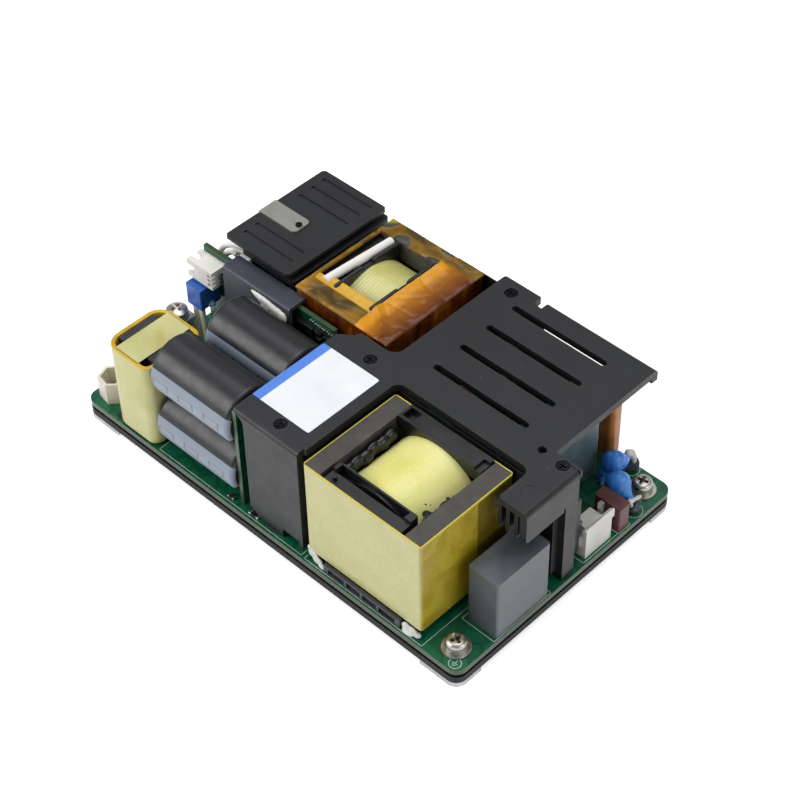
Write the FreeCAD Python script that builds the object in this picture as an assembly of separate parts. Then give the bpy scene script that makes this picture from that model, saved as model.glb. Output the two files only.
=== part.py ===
import FreeCAD, Part
import math
import os

V = FreeCAD.Vector

# An open frame power supply on a green board over a black base plate.
# X runs along the board, Y across it, Z up; the origin is under the middle.
# Lengths are in millimetres.

# Base plate, feet and main board
board_thickness = 1.6
corner_radius = 3.0
base_thickness = 2.0
foot_height = 1.4
foot_length = 11.5
foot_width = 8.0
boss_height = 0.9
boss_radius = 3.2
sheet_thickness = 0.25
sheet_inset = 1.5
hole_inset_x = 5.3
hole_inset_y = 5.5
board_hole_clearance = 0.4
solder_reach = 0.3

# Corner screws and their washers
screw_radius = 1.25
screw_tip_gap = 0.5
screw_head_radius = 2.55
screw_head_height = 2.2
flat_washer_radius = 3.5
flat_washer_thickness = 0.5
spring_washer_radius = 2.7
spring_washer_thickness = 0.8
washer_clearance = 0.2

# Hexagonal guard round the left front screw
guard_flats = 7.1
guard_wall = 0.7
guard_height = 6.5
guard_floor = 1.0
guard_turn = -11.0
guard_shift = 0.45
guard_screw_head = 2.3

# Front row, from the left edge of the board to the right one
choke_inset = 11.0
choke_length = 15.5
choke_gap = 0.6
can_length = 27.0
can_board_gap = 0.4
can_board_thickness = 1.2
sink_gap = 0.05
sink_front_length = 21.65
front_tf_gap = 1.0
front_tf_length = 36.2
block_gap = 3.1
block_length = 8.9
block_margin = 0.4

# Front to back, through the lying capacitors and the rear transformer
can_margin = 0.7
can_diameter = 16.0
can_row_gap = 1.5
bracket_gap = 1.3
bracket_sheet = 1.0
bracket_space = 2.1
control_thickness = 1.2
rear_tf_gap = 1.5
rear_tf_width = 34.2
rear_tf_margin = 0.7

# Lying capacitors
can_lift = 0.45
can_layer_gap = 0.1
can_edge_radius = 1.2
seal_recess = 1.2
seal_rim = 1.2
can_lead_radius = 0.4
can_lead_pitch = 7.5
can_board_height = 31.2
can_board_margin = 2.5
can_board_tab = 6.0

# Main heatsink
sink_height = 33.45
sink_sheet = 2.0
fold_radius = 0.3
fold_outer = 1.3
sink_front_margin = 1.6
sink_cut_gap = 1.8
sink_cut_radius = 2.4
sink_side_gap = 2.1
wall_inset_left = 3.3
wall_corner_drop = 2.4
wall_inset_right = 0.7
wall_clearance = 3.0
wall_leg_left = 4.7
wall_leg_width = 6.2
back_part_inset = 15.35
back_part_step = 4.15
back_part_overhang = 1.2
back_tab_length = 11.6
back_lip_inset = 0.1
back_lip_height = 3.35
back_lip_relief = 2.5
right_edge_inset = 8.7
tongue_overlap = 0.1
tongue_margin = 0.8
tongue_front = 8.2
tongue_back = 1.0
flange_reach = 0.6
flange_height = 9.25
flange_leg_width = 4.0
flange_leg_back = 0.3
relief_width = 0.6
slot_count = 4
slot_pitch = 9.06
slot_width = 1.9
slot_length = 28.9
slot_inset_x = 2.4
slot_inset_y = 6.0
sink_corner_radius = 0.8
sink_inner_radius = 3.0

# Countersunk screws, posts, clips and clinch nuts of the main heatsink
sink_screw_radius = 1.0
sink_screw_head = 1.85
sink_screw_reach = 5.4
post_flats = 5.0
clip_screw_inset = 4.1
clip_screw_x = 11.65
post_screw_x = 11.85
post_screw_gap = 0.8
back_screw_x = 20.55
back_screw_inset = 2.6
flange_hole_radius = 1.2
flange_hole_inset = 2.7
flange_hole_shift = 0.4
nut_radius = 2.4
nut_height = 2.6
clip_thickness = 0.6
clip_width = 7.0
device_width = 9.8
device_height = 18.0
device_thickness = 4.3
device_lift = 2.2
device_pin_width = 0.9
device_pin_pitch = 2.54
rectifier_gap = 0.7

# Fin comb under the tongue
comb_fins = 3
comb_fin_thickness = 1.0
comb_pitch = 2.4
comb_base = 1.5
comb_base_inset = 2.0
comb_drop = 7.0
comb_depth = 10.5
stud_radius = 2.3
stud_shank_radius = 1.2
stud_drop = 0.12

# Label on the heatsink
label_thickness = 0.1
label_length = 18.25
label_width = 22.9
label_inset = 0.1
label_front = 6.3

# Transformers: wound cores with a tape band
tf_lift = 3.0
tape_thickness = 0.3
tape_corner_radius = 0.8
front_tf_width = 30.0
front_tf_margin = 1.7
front_tf_height = 31.7
front_tf_back = 4.4
front_flanges = (1.3, 0.5)
rear_flanges = (5.3, 1.5)
front_proud = 0.7
rear_proud = 1.0
front_tf_leg = 6.5
front_tf_opening = 26.0
front_tf_side = 2.2
rear_tf_length = 30.6
rear_tf_height = 31.8
rear_tf_back = 6.3
rear_tf_leg = 6.5
rear_tf_opening = 23.0
rear_tf_side = 2.2
bobbin_wall = 1.0
bobbin_fit = 0.2
winding_clearance = 0.15
trough_depth = 3.2
trough_wall = 0.9
ledge_drop = 0.9
ledge_depth = 3.2
channel_depth = 3.0
channel_width = 1.9
channel_end = 2.0
block_shift = 0.8
block_inset = 0.1
block_drop = 1.4
notch_fit = 0.4
rear_bar_pocket = 3.9
split_wall = 1.3
split_gap = 3.5
split_shift = 0.5
cover_thickness = 0.15
cover_left = 1.2
cover_right = 10.5
rail_windows = 4
rail_window_width = 4.6
rail_window_depth = 0.8
pin_width = 0.8
pins_per_rail = 4
sleeve_radius = 1.2
sleeve_end_gap = 0.75
sleeve_inset = 4.7
sleeve_lift = 0.1
sleeve_turn = 4.5

# Rear heatsink, its strap and the parts under it
rear_sink_inset = 10.2
rear_sink_length = 22.5
rear_sink_back_margin = 0.2
rear_sink_front_gap = 0.1
rear_sink_sheet = 0.9
rear_sink_chamfer = 0.8
rear_tf_side_gap = 2.6
rear_groove_length = 17.0
rear_groove_width = 1.2
rear_groove_depth = 0.4
rear_groove_inset_x = 2.6
rear_rib_height = 1.55
rear_rib_width = 1.6
rear_rib_inset = 3.0
rear_base_sheet = 1.6
rear_base_inset = 0.9
rear_base_extra = 0.9
rear_base_notch = 4.5
rear_base_leg_width = 9.0
strap_width = 5.8
strap_thickness = 0.5
strap_reach = 12.7
strap_inset_y = 20.0
strap_fit = 0.1
strap_corner = 1.3
rivet_radius = 0.7
rivet_inset = 1.3
rivet_head = 0.35
smoothing_margin = 1.9
smoothing_gap = 1.2
smoothing_height = 20.0
smoothing_inset_x = 3.4
smoothing_rows = 3
smoothing_pin_pitch = 5.0
smoothing_pin_width = 0.6
smoothing_edge = 0.7

# Folded bracket, control board and its parts
bracket_inset = 15.3
bracket_length = 23.5
bracket_width = 5.6
bracket_height = 30.0
bracket_foot_gap = 1.5
bracket_leg_width = 4.0
control_inset = 4.9
control_length = 46.3
control_height = 28.8
control_pins = 8
control_pin_width = 0.64
chip_height = 1.1
chip_sizes = ((5.0, 4.0), (2.0, 1.2), (2.0, 1.2), (3.0, 1.6))
chip_rows = 3
chip_row_pitch = 6.5
chip_gap = 0.8
chip_inset = 0.7
chip_drop = 3.0
connector_inset = 4.0
connector_length = 9.0
connector_depth = 5.0
connector_height = 5.5
connector_drop = 1.8
connector_wall = 0.7
connector_contacts = 3
contact_width = 0.5

# Blue box capacitor on sleeved legs
blue_length = 5.5
blue_width = 6.8
blue_height = 6.4
blue_lift = 14.2
blue_inset = 4.8
blue_gap = 0.2
blue_leg_radius = 0.65
blue_leg_pitch = 4.0
blue_leg_back = 1.4
blue_leg_lean = 1.5
blue_leg_foot = 1.0

# Output terminals
terminal_length = 6.6
terminal_width = 6.6
terminal_height = 11.3
terminal_sheet = 1.2
terminal_margin = 1.0
terminal_offset = 10.2
terminal_rear_shift = 1.5
terminal_screw_radius = 2.0
terminal_head_radius = 2.8
terminal_washer_radius = 3.1
terminal_washer_thickness = 0.6
terminal_spring_radius = 2.6
terminal_spring_thickness = 0.8
terminal_head_height = 1.6
terminal_screw_reach = 6.0

# Choke
choke_width = 18.3
choke_margin = 0.3
choke_height = 26.0
choke_back = 2.1
choke_core_width = 11.0
choke_core_inset = 1.4
choke_leg_height = 3.2
choke_middle_height = 6.4
choke_ring_wall = 0.5
choke_ring_lift = 0.7
choke_cheek = 0.7
choke_label_width = 16.6
choke_foot_length = 1.1

# Line side parts at the right
block_width = 17.6
block_height = 18.3
block_corner_radius = 0.6
block_front = 13.4
xcap_length = 10.0
xcap_width = 26.0
xcap_height = 22.0
xcap_inset_x = 4.8
xcap_gap_y = 8.0
orange_length = 14.5
orange_width = 4.0
orange_height = 17.0
orange_lift = 2.0
orange_inset_x = 3.6
orange_inset_y = 0.6
disc_radius = 3.3
disc_thickness = 3.4
disc_height = 6.4
disc_lead_radius = 0.3
disc_lead_pitch = 4.0
disc_turn = 40.0
disc_inset_x = 12.4
disc_inset_y = 7.8
disc_step_x = 5.0
disc_step_y = 4.6
fuse_length = 8.0
fuse_width = 3.7
fuse_height = 7.6
fuse_inset_x = 0.6
fuse_inset_y = 16.1
header_length = 6.3
header_width = 10.7
header_base = 3.2
header_height = 9.4
header_wall = 0.9
header_wall_width = 9.2
header_lock_width = 10.0
header_lock_height = 2.6
header_inset_x = 1.2
header_gap_y = 0.8
header_step = 1.2
header_block_gap = 0.5
header_block_height = 6.0
header_pin_width = 1.14
header_pin_pitch = 7.92
header_pin_inset = 4.0
header_pin_back = 0.75
header_pin_height = 8.4
absorber_radius = 1.8
absorber_height = 2.8
absorber_inset_x = 2.0
absorber_inset_y = 12.0
absorber_rear_inset_x = 11.6
absorber_rear_inset_y = 2.0
line_choke_outer = 9.6
line_choke_inner = 4.6
line_choke_height = 10.0
line_choke_base = 2.0
line_choke_wire = 1.3
line_choke_arc = 140.0
line_choke_fit = 0.1
line_choke_gap = 2.1
line_choke_inset_y = 19.5
line_choke_leg_inset = 1.6
line_choke_lead = 0.9

# The board is as long and as wide as its rows of parts
board_length = (
    choke_inset + choke_length + choke_gap + can_length + can_board_gap
    + can_board_thickness + sink_gap + sink_front_length + front_tf_gap
    + front_tf_length + block_gap + block_length + block_margin
)
board_width = (
    can_margin + can_diameter + can_row_gap + can_diameter + bracket_gap
    + bracket_sheet + bracket_space + control_thickness + rear_tf_gap
    + rear_tf_width + rear_tf_margin
)
left = -board_length / 2
right = board_length / 2
front = -board_width / 2
back = board_width / 2
hole_x = board_length / 2 - hole_inset_x
hole_y = board_width / 2 - hole_inset_y

# Levels
base_top = foot_height + base_thickness
board_low = base_top + boss_height
floor = board_low + board_thickness
sink_top = floor + sink_height
sink_low = sink_top - sink_sheet

# Places along X
choke_x = left + choke_inset
can_x = choke_x + choke_length + choke_gap
can_end_x = can_x + can_length
can_board_x = can_end_x + can_board_gap
sink_x = can_board_x + can_board_thickness + sink_gap
sink_cut_x = sink_x + sink_front_length
front_tf_x = sink_cut_x + front_tf_gap
block_x = front_tf_x + front_tf_length + block_gap
rear_sink_x = left + rear_sink_inset
rear_tf_x = rear_sink_x + rear_sink_length + rear_tf_side_gap

# Places along Y
can_row_y = [
    front + can_margin + can_diameter / 2,
    front + can_margin + can_diameter * 1.5 + can_row_gap,
]
bracket_y = can_row_y[1] + can_diameter / 2 + bracket_gap
control_y = bracket_y + bracket_sheet + bracket_space
rear_tf_y = control_y + control_thickness + rear_tf_gap
front_tf_y = front + front_tf_margin
front_tf_back_y = front_tf_y + front_tf_width

# Holes that the leads and pins take through the main board, and the leads
lead_holes = []
component_leads = []


def box(x0, x1, y0, y1, z0, z1):
    return Part.makeBox(x1 - x0, y1 - y0, z1 - z0, V(x0, y0, z0))


def rod(x, y, z0, z1, radius):
    return Part.makeCylinder(radius, z1 - z0, V(x, y, z0))


def bar(start, direction, length, radius):
    return Part.makeCylinder(radius, length, V(*start), V(*direction))


def join(shapes):
    first = shapes[0]
    return first.fuse(shapes[1:]).removeSplitter()


def outline(points):
    """Closed wire through (u, v, radius) corners, each rounded by its radius."""
    count = len(points)
    corners = []
    for i in range(count):
        u, v, radius = points[i]
        here = V(u, v, 0)
        before = V(points[i - 1][0], points[i - 1][1], 0) - here
        after = V(points[(i + 1) % count][0], points[(i + 1) % count][1], 0) - here
        if radius <= 0:
            corners.append((here, None, here))
            continue
        before.normalize()
        after.normalize()
        half = before.getAngle(after) / 2
        reach = radius / math.tan(half)
        inward = before + after
        inward.normalize()
        middle = here + inward * (radius / math.sin(half) - radius)
        corners.append((here + before * reach, middle, here + after * reach))
    edges = []
    for i in range(count):
        start, middle, end = corners[i]
        if middle is not None:
            edges.append(Part.Arc(start, middle, end).toShape())
        following = corners[(i + 1) % count][0]
        if end.distanceToPoint(following) > 1e-6:
            edges.append(Part.LineSegment(end, following).toShape())
    return Part.Wire(edges)


def slab(points, z0, z1):
    """Outline in X and Y, raised from z0 to z1."""
    face = Part.Face(outline(points))
    solid = face.extrude(V(0, 0, z1 - z0))
    solid.translate(V(0, 0, z0))
    return solid


def wall_xz(points, y0, y1):
    """Outline in X and Z, taken from y0 to y1."""
    solid = slab(points, -y1, -y0)
    solid.rotate(V(0, 0, 0), V(1, 0, 0), 90)
    return solid


def wall_yz(points, x0, x1):
    """Outline in Y and Z, taken from x0 to x1."""
    solid = slab(points, x0, x1)
    solid.rotate(V(0, 0, 0), V(1, 1, 1), 120)
    return solid


def rectangle(u0, u1, v0, v1, radius=0.0):
    return [(u0, v0, radius), (u1, v0, radius), (u1, v1, radius), (u0, v1, radius)]


def rounded_box(x0, x1, y0, y1, z0, z1, radius):
    return slab(rectangle(x0, x1, y0, y1, radius), z0, z1)


def hexagon(x, y, flats, turn):
    reach = flats / math.sqrt(3)
    angles = [math.radians(turn + 60 * i) for i in range(6)]
    return [(x + reach * math.cos(a), y + reach * math.sin(a), 0) for a in angles]


def cross_recess(x, y, z, size, depth):
    """Tapering cross in a screw's head, from z down."""
    arm = size / 4
    along = box(x - size, x + size, y - arm, y + arm, z - depth, z + 1)
    across = box(x - arm, x + arm, y - size, y + size, z - depth, z + 1)
    taper = Part.makeCone(0.2 * size, size, depth, V(x, y, z - depth))
    above = rod(x, y, z, z + 1, size)
    return join([along, across]).common(join([taper, above]))


def pan_head(x, y, z, radius, height, recess):
    """Domed head, seated at z."""
    edge = height * 0.45
    sphere_radius = (radius ** 2 + (height - edge) ** 2) / (2 * (height - edge))
    skirt = rod(x, y, z, z + height, radius)
    dome = Part.makeSphere(sphere_radius, V(x, y, z + height - sphere_radius))
    head = skirt.common(dome)
    return head.cut(cross_recess(x, y, z + height - 0.1, recess, height * 0.55))


def square_pin(x, y, z_top, width):
    """Pin of a part on the board, soldered in its hole; its foot is under the board."""
    half = width / 2
    z_low = board_low - solder_reach
    lead_holes.append(box(x - half, x + half, y - half, y + half, board_low - 1, floor + 1))
    return box(x - half, x + half, y - half, y + half, z_low, z_top)


def round_lead(x, y, z_top, radius):
    """Round lead of a part on the board, soldered in its hole."""
    lead_holes.append(rod(x, y, board_low - 1, floor + 1, radius))
    return rod(x, y, board_low - solder_reach, z_top, radius)


def board_tab(x0, x1, y0, y1):
    """Tab of an upright sheet or board, soldered in its slot."""
    lead_holes.append(box(x0, x1, y0, y1, board_low - 1, floor + 1))
    return box(x0, x1, y0, y1, board_low, floor)


def save(name, solids):
    shape = solids if hasattr(solids, "exportStep") else Part.makeCompound(solids)
    shape.exportStep(os.path.join("parts", name + ".step"))


def corner_places():
    return [(sx * hole_x, sy * hole_y) for sy in (-1, 1) for sx in (-1, 1)]


def base_plate():
    plate = rounded_box(left, right, front, back, foot_height, base_top, corner_radius)
    bosses = [rod(x, y, base_top, board_low, boss_radius) for x, y in corner_places()]
    holes = [rod(x, y, 0, board_low + 1, screw_radius) for x, y in corner_places()]
    save("base_plate", join([plate] + bosses).cut(holes))


def base_feet():
    outer = rounded_box(left, right, front, back, 0, foot_height, corner_radius)
    feet = []
    for x, y in corner_places():
        x0 = left if x < 0 else right - foot_length
        y0 = front if y < 0 else back - foot_width
        pad = box(x0, x0 + foot_length, y0, y0 + foot_width, 0, foot_height)
        feet.append(pad.common(outer).cut(rod(x, y, -1, foot_height + 1, screw_radius)))
    save("base_feet", feet)


def insulation_sheet():
    sheet = rounded_box(
        left + sheet_inset, right - sheet_inset, front + sheet_inset,
        back - sheet_inset, base_top, base_top + sheet_thickness, corner_radius,
    )
    clear = boss_radius + board_hole_clearance
    holes = [rod(x, y, base_top - 1, base_top + 1, clear) for x, y in corner_places()]
    save("insulation_sheet", sheet.cut(holes))


def main_board():
    board = rounded_box(left, right, front, back, board_low, floor, corner_radius)
    wide = screw_radius + board_hole_clearance
    holes = [rod(x, y, board_low - 1, floor + 1, wide) for x, y in corner_places()]
    save("main_board", board.cut(holes + lead_holes))


def board_screws():
    """Screws at the corners; the one in the guard sits on its floor."""
    screws = []
    flats = []
    springs = []
    tip = foot_height + screw_tip_gap
    for x, y in corner_places():
        guarded = x < 0 and y < 0
        flat_top = floor + flat_washer_thickness
        spring_top = flat_top + spring_washer_thickness
        seat = floor + guard_floor if guarded else spring_top
        radius = guard_screw_head if guarded else screw_head_radius
        head = pan_head(x, y, seat, radius, screw_head_height, radius * 0.62)
        screws.append(join([head, rod(x, y, tip, seat, screw_radius)]))
        if guarded:
            continue
        hole = rod(x, y, floor - 1, spring_top + 1, screw_radius + washer_clearance)
        flats.append(rod(x, y, floor, flat_top, flat_washer_radius).cut(hole))
        ring = rod(x, y, flat_top, spring_top, spring_washer_radius).cut(hole)
        split = box(x, x + 5, y - 0.25, y + 0.25, flat_top - 1, spring_top + 1)
        split.rotate(V(x, y, 0), V(0, 0, 1), 60 + 40 * len(springs))
        springs.append(ring.cut(split))
    save("board_screws", screws)
    save("flat_washers", flats)
    save("spring_washers", springs)


def hex_guard():
    x = -hole_x - guard_shift
    y = -hole_y + guard_shift
    outer = slab(hexagon(x, y, guard_flats, guard_turn), floor, floor + guard_height)
    inner_flats = guard_flats - 2 * guard_wall
    inside = slab(
        hexagon(x, y, inner_flats, guard_turn), floor + guard_floor, floor + guard_height + 1
    )
    hole = rod(-hole_x, -hole_y, floor - 1, floor + guard_floor + 1, screw_radius + 0.1)
    room = rod(
        -hole_x, -hole_y, floor + guard_floor, floor + guard_height + 1,
        guard_screw_head + 0.1,
    )
    save("hex_guard", outer.cut([inside, hole, room]))


def sink_outline(bend):
    """Outline of the main heatsink's top, with its folds' inner edges as sides."""
    y_wall = front + sink_front_margin + bend
    cut_y = front_tf_back_y + sink_cut_gap
    tongue_x = block_x + tongue_overlap
    flange_x = right - tongue_margin
    right_x = right - right_edge_inset
    tongue_y0 = block_front_y() + block_width - tongue_front
    flange_y1 = control_y + control_thickness + flange_reach
    tongue_y1 = flange_y1 + tongue_back
    back_x = sink_x + back_part_inset
    tab_x = back_x + back_tab_length
    tab_y = back + back_part_overhang
    lip_y = tab_y - back_lip_inset - bend
    step_y = rear_tf_y - sink_side_gap
    return [
        (sink_x, y_wall, 0),
        (sink_cut_x, y_wall, wall_inset_right / 2),
        (sink_cut_x, cut_y, sink_cut_radius),
        (tongue_x, cut_y, sink_cut_radius),
        (tongue_x, tongue_y0, sink_corner_radius),
        (flange_x - bend, tongue_y0, 0),
        (flange_x - bend, flange_y1, 0),
        (flange_x - bend - relief_width, flange_y1, 0),
        (flange_x - bend - relief_width, flange_y1 + relief_width / 3, 0),
        (flange_x, flange_y1 + relief_width / 3, 0),
        (flange_x, tongue_y1, sink_corner_radius / 2),
        (right_x, tongue_y1, sink_corner_radius / 2),
        (right_x, lip_y, 0),
        (tab_x + back_lip_relief, lip_y, 0),
        (tab_x + back_lip_relief, lip_y - sink_corner_radius, 0),
        (tab_x, lip_y - sink_corner_radius, 0),
        (tab_x, tab_y, sink_corner_radius / 2),
        (back_x, tab_y, sink_corner_radius),
        (back_x, step_y, sink_inner_radius),
        (sink_x + back_part_step, step_y, 0),
        (sink_x + back_part_step - 0.7, step_y - 1.6, 0),
        (sink_x, step_y - 4.2, 0),
    ]


def block_front_y():
    return front + block_front


def fold_profile(edge, inner_edge, z_low):
    """Section of the sheet from the flat top, round the fold and down to z_low."""
    inward = 1 if inner_edge > edge else -1
    return [
        (inner_edge, sink_top, 0),
        (edge, sink_top, fold_outer),
        (edge, z_low, 0),
        (edge + inward * sink_sheet, z_low, 0),
        (edge + inward * sink_sheet, sink_low, fold_radius),
        (inner_edge, sink_low, 0),
    ]


def sink_front_wall(bend):
    """Front wall with its leg, a slanting edge beside it and a slanting corner."""
    x0 = sink_x + wall_inset_left
    x1 = sink_cut_x - wall_inset_right
    leg0 = x0 + wall_leg_left
    leg1 = leg0 + wall_leg_width
    low = floor + wall_clearance
    face = front + sink_front_margin
    strip = wall_yz(fold_profile(face, face + bend, floor), sink_x, x1)
    shape = wall_xz([
        (x0, low, 0), (leg0, floor, 0), (leg1, floor, 0), (leg1, low, 0),
        (x1 - relief_width * 2, low, 0), (x1 - relief_width * 2, low - 2, 0),
        (x1, low - 2, 0), (x1, sink_top, 0), (sink_x, sink_top, 0),
        (sink_x, sink_top - fold_outer / 4, 0), (x0, sink_top - wall_corner_drop, 2.0),
    ], face - 1, face + bend + 1)
    tab = board_tab(leg0 + 1, leg1 - 1, face, face + sink_sheet)
    return join([strip.common(shape), tab])


def sink_side_flange(bend, tongue_y0, flange_y1):
    """Flange down the tongue's outer side, with a leg beside a relief notch."""
    face = right - tongue_margin
    low = sink_top - flange_height
    leg1 = flange_y1 - flange_leg_back
    leg0 = leg1 - flange_leg_width
    strip = wall_xz(fold_profile(face, face - bend, floor), tongue_y0, flange_y1)
    shape = wall_yz([
        (tongue_y0, low, 1), (leg0 - relief_width, low, 0),
        (leg0 - relief_width, low + 1, 0), (leg0, low + 1, 0), (leg0, floor, 0),
        (leg1, floor, 0), (leg1, low, 0), (flange_y1, low, 0),
        (flange_y1, sink_top, 0), (tongue_y0, sink_top, 0),
    ], face - bend - 1, face + 1)
    tab = board_tab(face - sink_sheet, face, leg0 + 0.8, leg1 - 0.8)
    return join([strip.common(shape), tab])


def sink_screw_places():
    """The two screws of the clips, then the two over the posts."""
    cut_y = front_tf_back_y + sink_cut_gap
    flange_x = right - tongue_margin
    return [
        (sink_x + clip_screw_x, front + sink_front_margin + clip_screw_inset),
        (flange_x - clip_screw_inset, rectifier_middle()),
        (sink_x + post_screw_x, cut_y + post_screw_gap),
        (sink_x + back_screw_x, back - back_screw_inset),
    ]


def rectifier_middle():
    return header_rows()[0] - rectifier_gap - device_width / 2


def main_heatsink():
    bend = sink_sheet + fold_radius
    points = sink_outline(bend)
    tongue_y0 = points[4][1]
    flange_y1 = points[6][1]
    back_lip_y = back + back_part_overhang - back_lip_inset
    plate = slab(points, sink_low, sink_top)
    lip = wall_yz(
        fold_profile(back_lip_y, back_lip_y - bend, sink_top - back_lip_height),
        points[13][0], points[12][0],
    )
    body = join([plate, sink_front_wall(bend), sink_side_flange(bend, tongue_y0, flange_y1), lip])
    cuts = []
    slot_x = sink_cut_x + slot_inset_x
    for i in range(slot_count):
        y = back - slot_inset_y - i * slot_pitch
        half = slot_width / 2
        cuts.append(rounded_box(
            slot_x, slot_x + slot_length, y - half, y + half,
            sink_low - 1, sink_top + 1, half * 0.99,
        ))
    depth = sink_screw_head - sink_screw_radius
    for x, y in sink_screw_places():
        cuts.append(rod(x, y, sink_low - 1, sink_top + 1, sink_screw_radius))
        cuts.append(Part.makeCone(
            sink_screw_radius, sink_screw_head, depth, V(x, y, sink_top - depth)
        ))
    x, y = stud_place()
    cuts.append(rod(x, y, sink_low - 1, sink_top + 1, stud_radius))
    cuts.append(rod(right - right_edge_inset - flange_hole_inset,
                    rectifier_middle() + flange_hole_shift,
                    sink_low - 1, sink_top + 1, flange_hole_radius))
    save("main_heatsink", body.cut(cuts))


def heatsink_screws():
    """Countersunk screws, flush with the heatsink's top."""
    screws = []
    depth = sink_screw_head - sink_screw_radius
    for x, y in sink_screw_places():
        head = Part.makeCone(
            sink_screw_radius, sink_screw_head, depth, V(x, y, sink_top - depth)
        )
        shank = rod(x, y, sink_top - sink_screw_reach, sink_top - depth, sink_screw_radius)
        cross = cross_recess(x, y, sink_top, sink_screw_head * 0.6, depth * 0.9)
        screws.append(join([head, shank]).cut(cross))
    save("heatsink_screws", screws)


def heatsink_posts():
    """Hexagonal posts from the board to the heatsink's underside."""
    posts = []
    for x, y in sink_screw_places()[2:]:
        post = slab(hexagon(x, y, post_flats, 0), floor, sink_low)
        bore = rod(x, y, sink_top - sink_screw_reach, sink_low + 1, sink_screw_radius)
        pin = round_lead(x, y, floor, sink_screw_radius)
        posts.append(join([post.cut(bore), pin]))
    save("heatsink_posts", posts)


def spring_clip(x, y, width):
    """Clip under the heatsink: a flat with its clinch nut and a sprung leg.

    It presses along -Y on a device whose back is against a wall's inner face.
    The nut's axis is at (x, y) and the device lies from y - depth to y.
    """
    low = sink_low - clip_thickness
    wall = y - clip_screw_inset + sink_sheet
    leg = wall + device_thickness
    seat = floor + device_lift + device_height * 0.7
    half = width / 2
    flat = box(x - half, x + half, wall + 0.3, leg + clip_thickness, low, sink_low)
    leg_box = box(x - half, x + half, leg, leg + clip_thickness, seat, low)
    toe = wall_yz([
        (leg, seat, 0), (leg, seat - 3, 0), (leg + 1.6, seat - 4.4, 0),
        (leg + 2.1, seat - 4.0, 0), (leg + clip_thickness, seat - 2.6, 0),
        (leg + clip_thickness, seat, 0),
    ], x - half * 0.6, x + half * 0.6)
    nut = rod(x, y, sink_low - nut_height, low, nut_radius)
    nut = nut.common(box(x - 9, x + 9, wall + 0.1, leg + 0.05, 0, sink_low))
    hole = rod(x, y, sink_low - nut_height - 1, sink_low + 1, sink_screw_radius)
    return join([flat, leg_box, toe, nut]).cut(hole)


def power_device(x, wall):
    """Flat power device with a metal tab at its top, and its three pins."""
    low = floor + device_lift
    half = device_width / 2
    body = box(x - half, x + half, wall, wall + device_thickness, low, low + device_height)
    body = body.makeChamfer(0.5, [
        e for e in body.Edges
        if e.BoundBox.ZLength > 5 and e.BoundBox.YMin > wall + 0.1
    ])
    pins = []
    y = wall + device_thickness / 2
    for i in (-1, 0, 1):
        pins.append(square_pin(x + i * device_pin_pitch, y, low, device_pin_width))
    return body, pins


def clamped_devices():
    """The transistor behind the front wall and the rectifier behind the side leg."""
    x, y = sink_screw_places()[0]
    wall = front + sink_front_margin + sink_sheet
    body, pins = power_device(x, wall)
    save("power_transistor", body)
    clips = [spring_clip(x, y, clip_width)]
    component_leads.extend(pins)

    # The rectifier is the same group, turned to face the side flange.
    holes_before = len(lead_holes)
    body, pins = power_device(0, -clip_screw_inset + sink_sheet)
    clip = spring_clip(0, 0, clip_width)
    turned = lead_holes[holes_before:]
    del lead_holes[holes_before:]
    x, y = sink_screw_places()[1]
    group = [body, clip] + pins + turned
    for shape in group:
        shape.rotate(V(0, 0, 0), V(0, 0, 1), 90)
        shape.translate(V(x, y, 0))
    lead_holes.extend(turned)
    save("bridge_rectifier", body)
    save("device_clips", clips + [clip])
    component_leads.extend(pins)


def stud_place():
    return (block_x + tongue_overlap + 4.3, block_front_y() + block_width - tongue_front + 5.5)


def fin_comb():
    """Comb of fins under the tongue, on a flush stud."""
    x0 = block_x + tongue_overlap
    y0 = block_front_y() + block_width - tongue_front
    length = (comb_fins - 1) * comb_pitch + comb_fin_thickness
    pieces = [box(x0, x0 + length, y0 + comb_base_inset, y0 + comb_depth,
                  sink_low - comb_base, sink_low)]
    for i in range(comb_fins):
        low = sink_low - comb_drop
        x = x0 + i * comb_pitch
        pieces.append(box(x, x + comb_fin_thickness, y0, y0 + comb_depth, low, sink_low))
    x, y = stud_place()
    hole = rod(x, y, sink_low - comb_base - 1, sink_low + 1, stud_shank_radius)
    save("fin_comb", join(pieces).cut(hole))
    head = rod(x, y, sink_low, sink_top - stud_drop, stud_radius)
    shank = rod(x, y, sink_low - comb_base, sink_low, stud_shank_radius)
    save("comb_stud", join([head, shank]))


def rating_label():
    x0 = sink_x + label_inset
    y0 = front + sink_front_margin + label_front
    save("blank_label", rounded_box(
        x0, x0 + label_length, y0, y0 + label_width,
        sink_top, sink_top + label_thickness, 0.5,
    ))


def core_half(width, depth, height, back_wall, leg, opening, side):
    """Half of a pot shaped ferrite core, its mating face at Y 0, its back at -depth."""
    body = box(-width / 2, width / 2, -depth, 0, -height / 2, height / 2)
    window = width / 2 - side
    reach = depth - back_wall
    bore = bar((0, -reach, 0), (0, 1, 0), reach + 1, window)
    gate = box(-opening / 2, opening / 2, -reach, 1, -height, height)
    post = bar((0, -reach, 0), (0, 1, 0), reach, leg)
    hollow = join([bore, gate]).cut(post)
    body = body.cut(hollow)
    waist = leg + 1.2
    shoulder = height / 2 - trough_depth - 0.8
    for sign in (-1, 1):
        notch = wall_xz([
            (-opening / 2, sign * (height / 2 + 1), 0),
            (opening / 2, sign * (height / 2 + 1), 0),
            (opening / 2, sign * shoulder, 0),
            (waist * 0.6, sign * waist, 0),
            (-waist * 0.6, sign * waist, 0),
            (-opening / 2, sign * shoulder, 0),
        ], -depth - 1, 1)
        body = body.cut(notch.cut(post))
    return body


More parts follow.
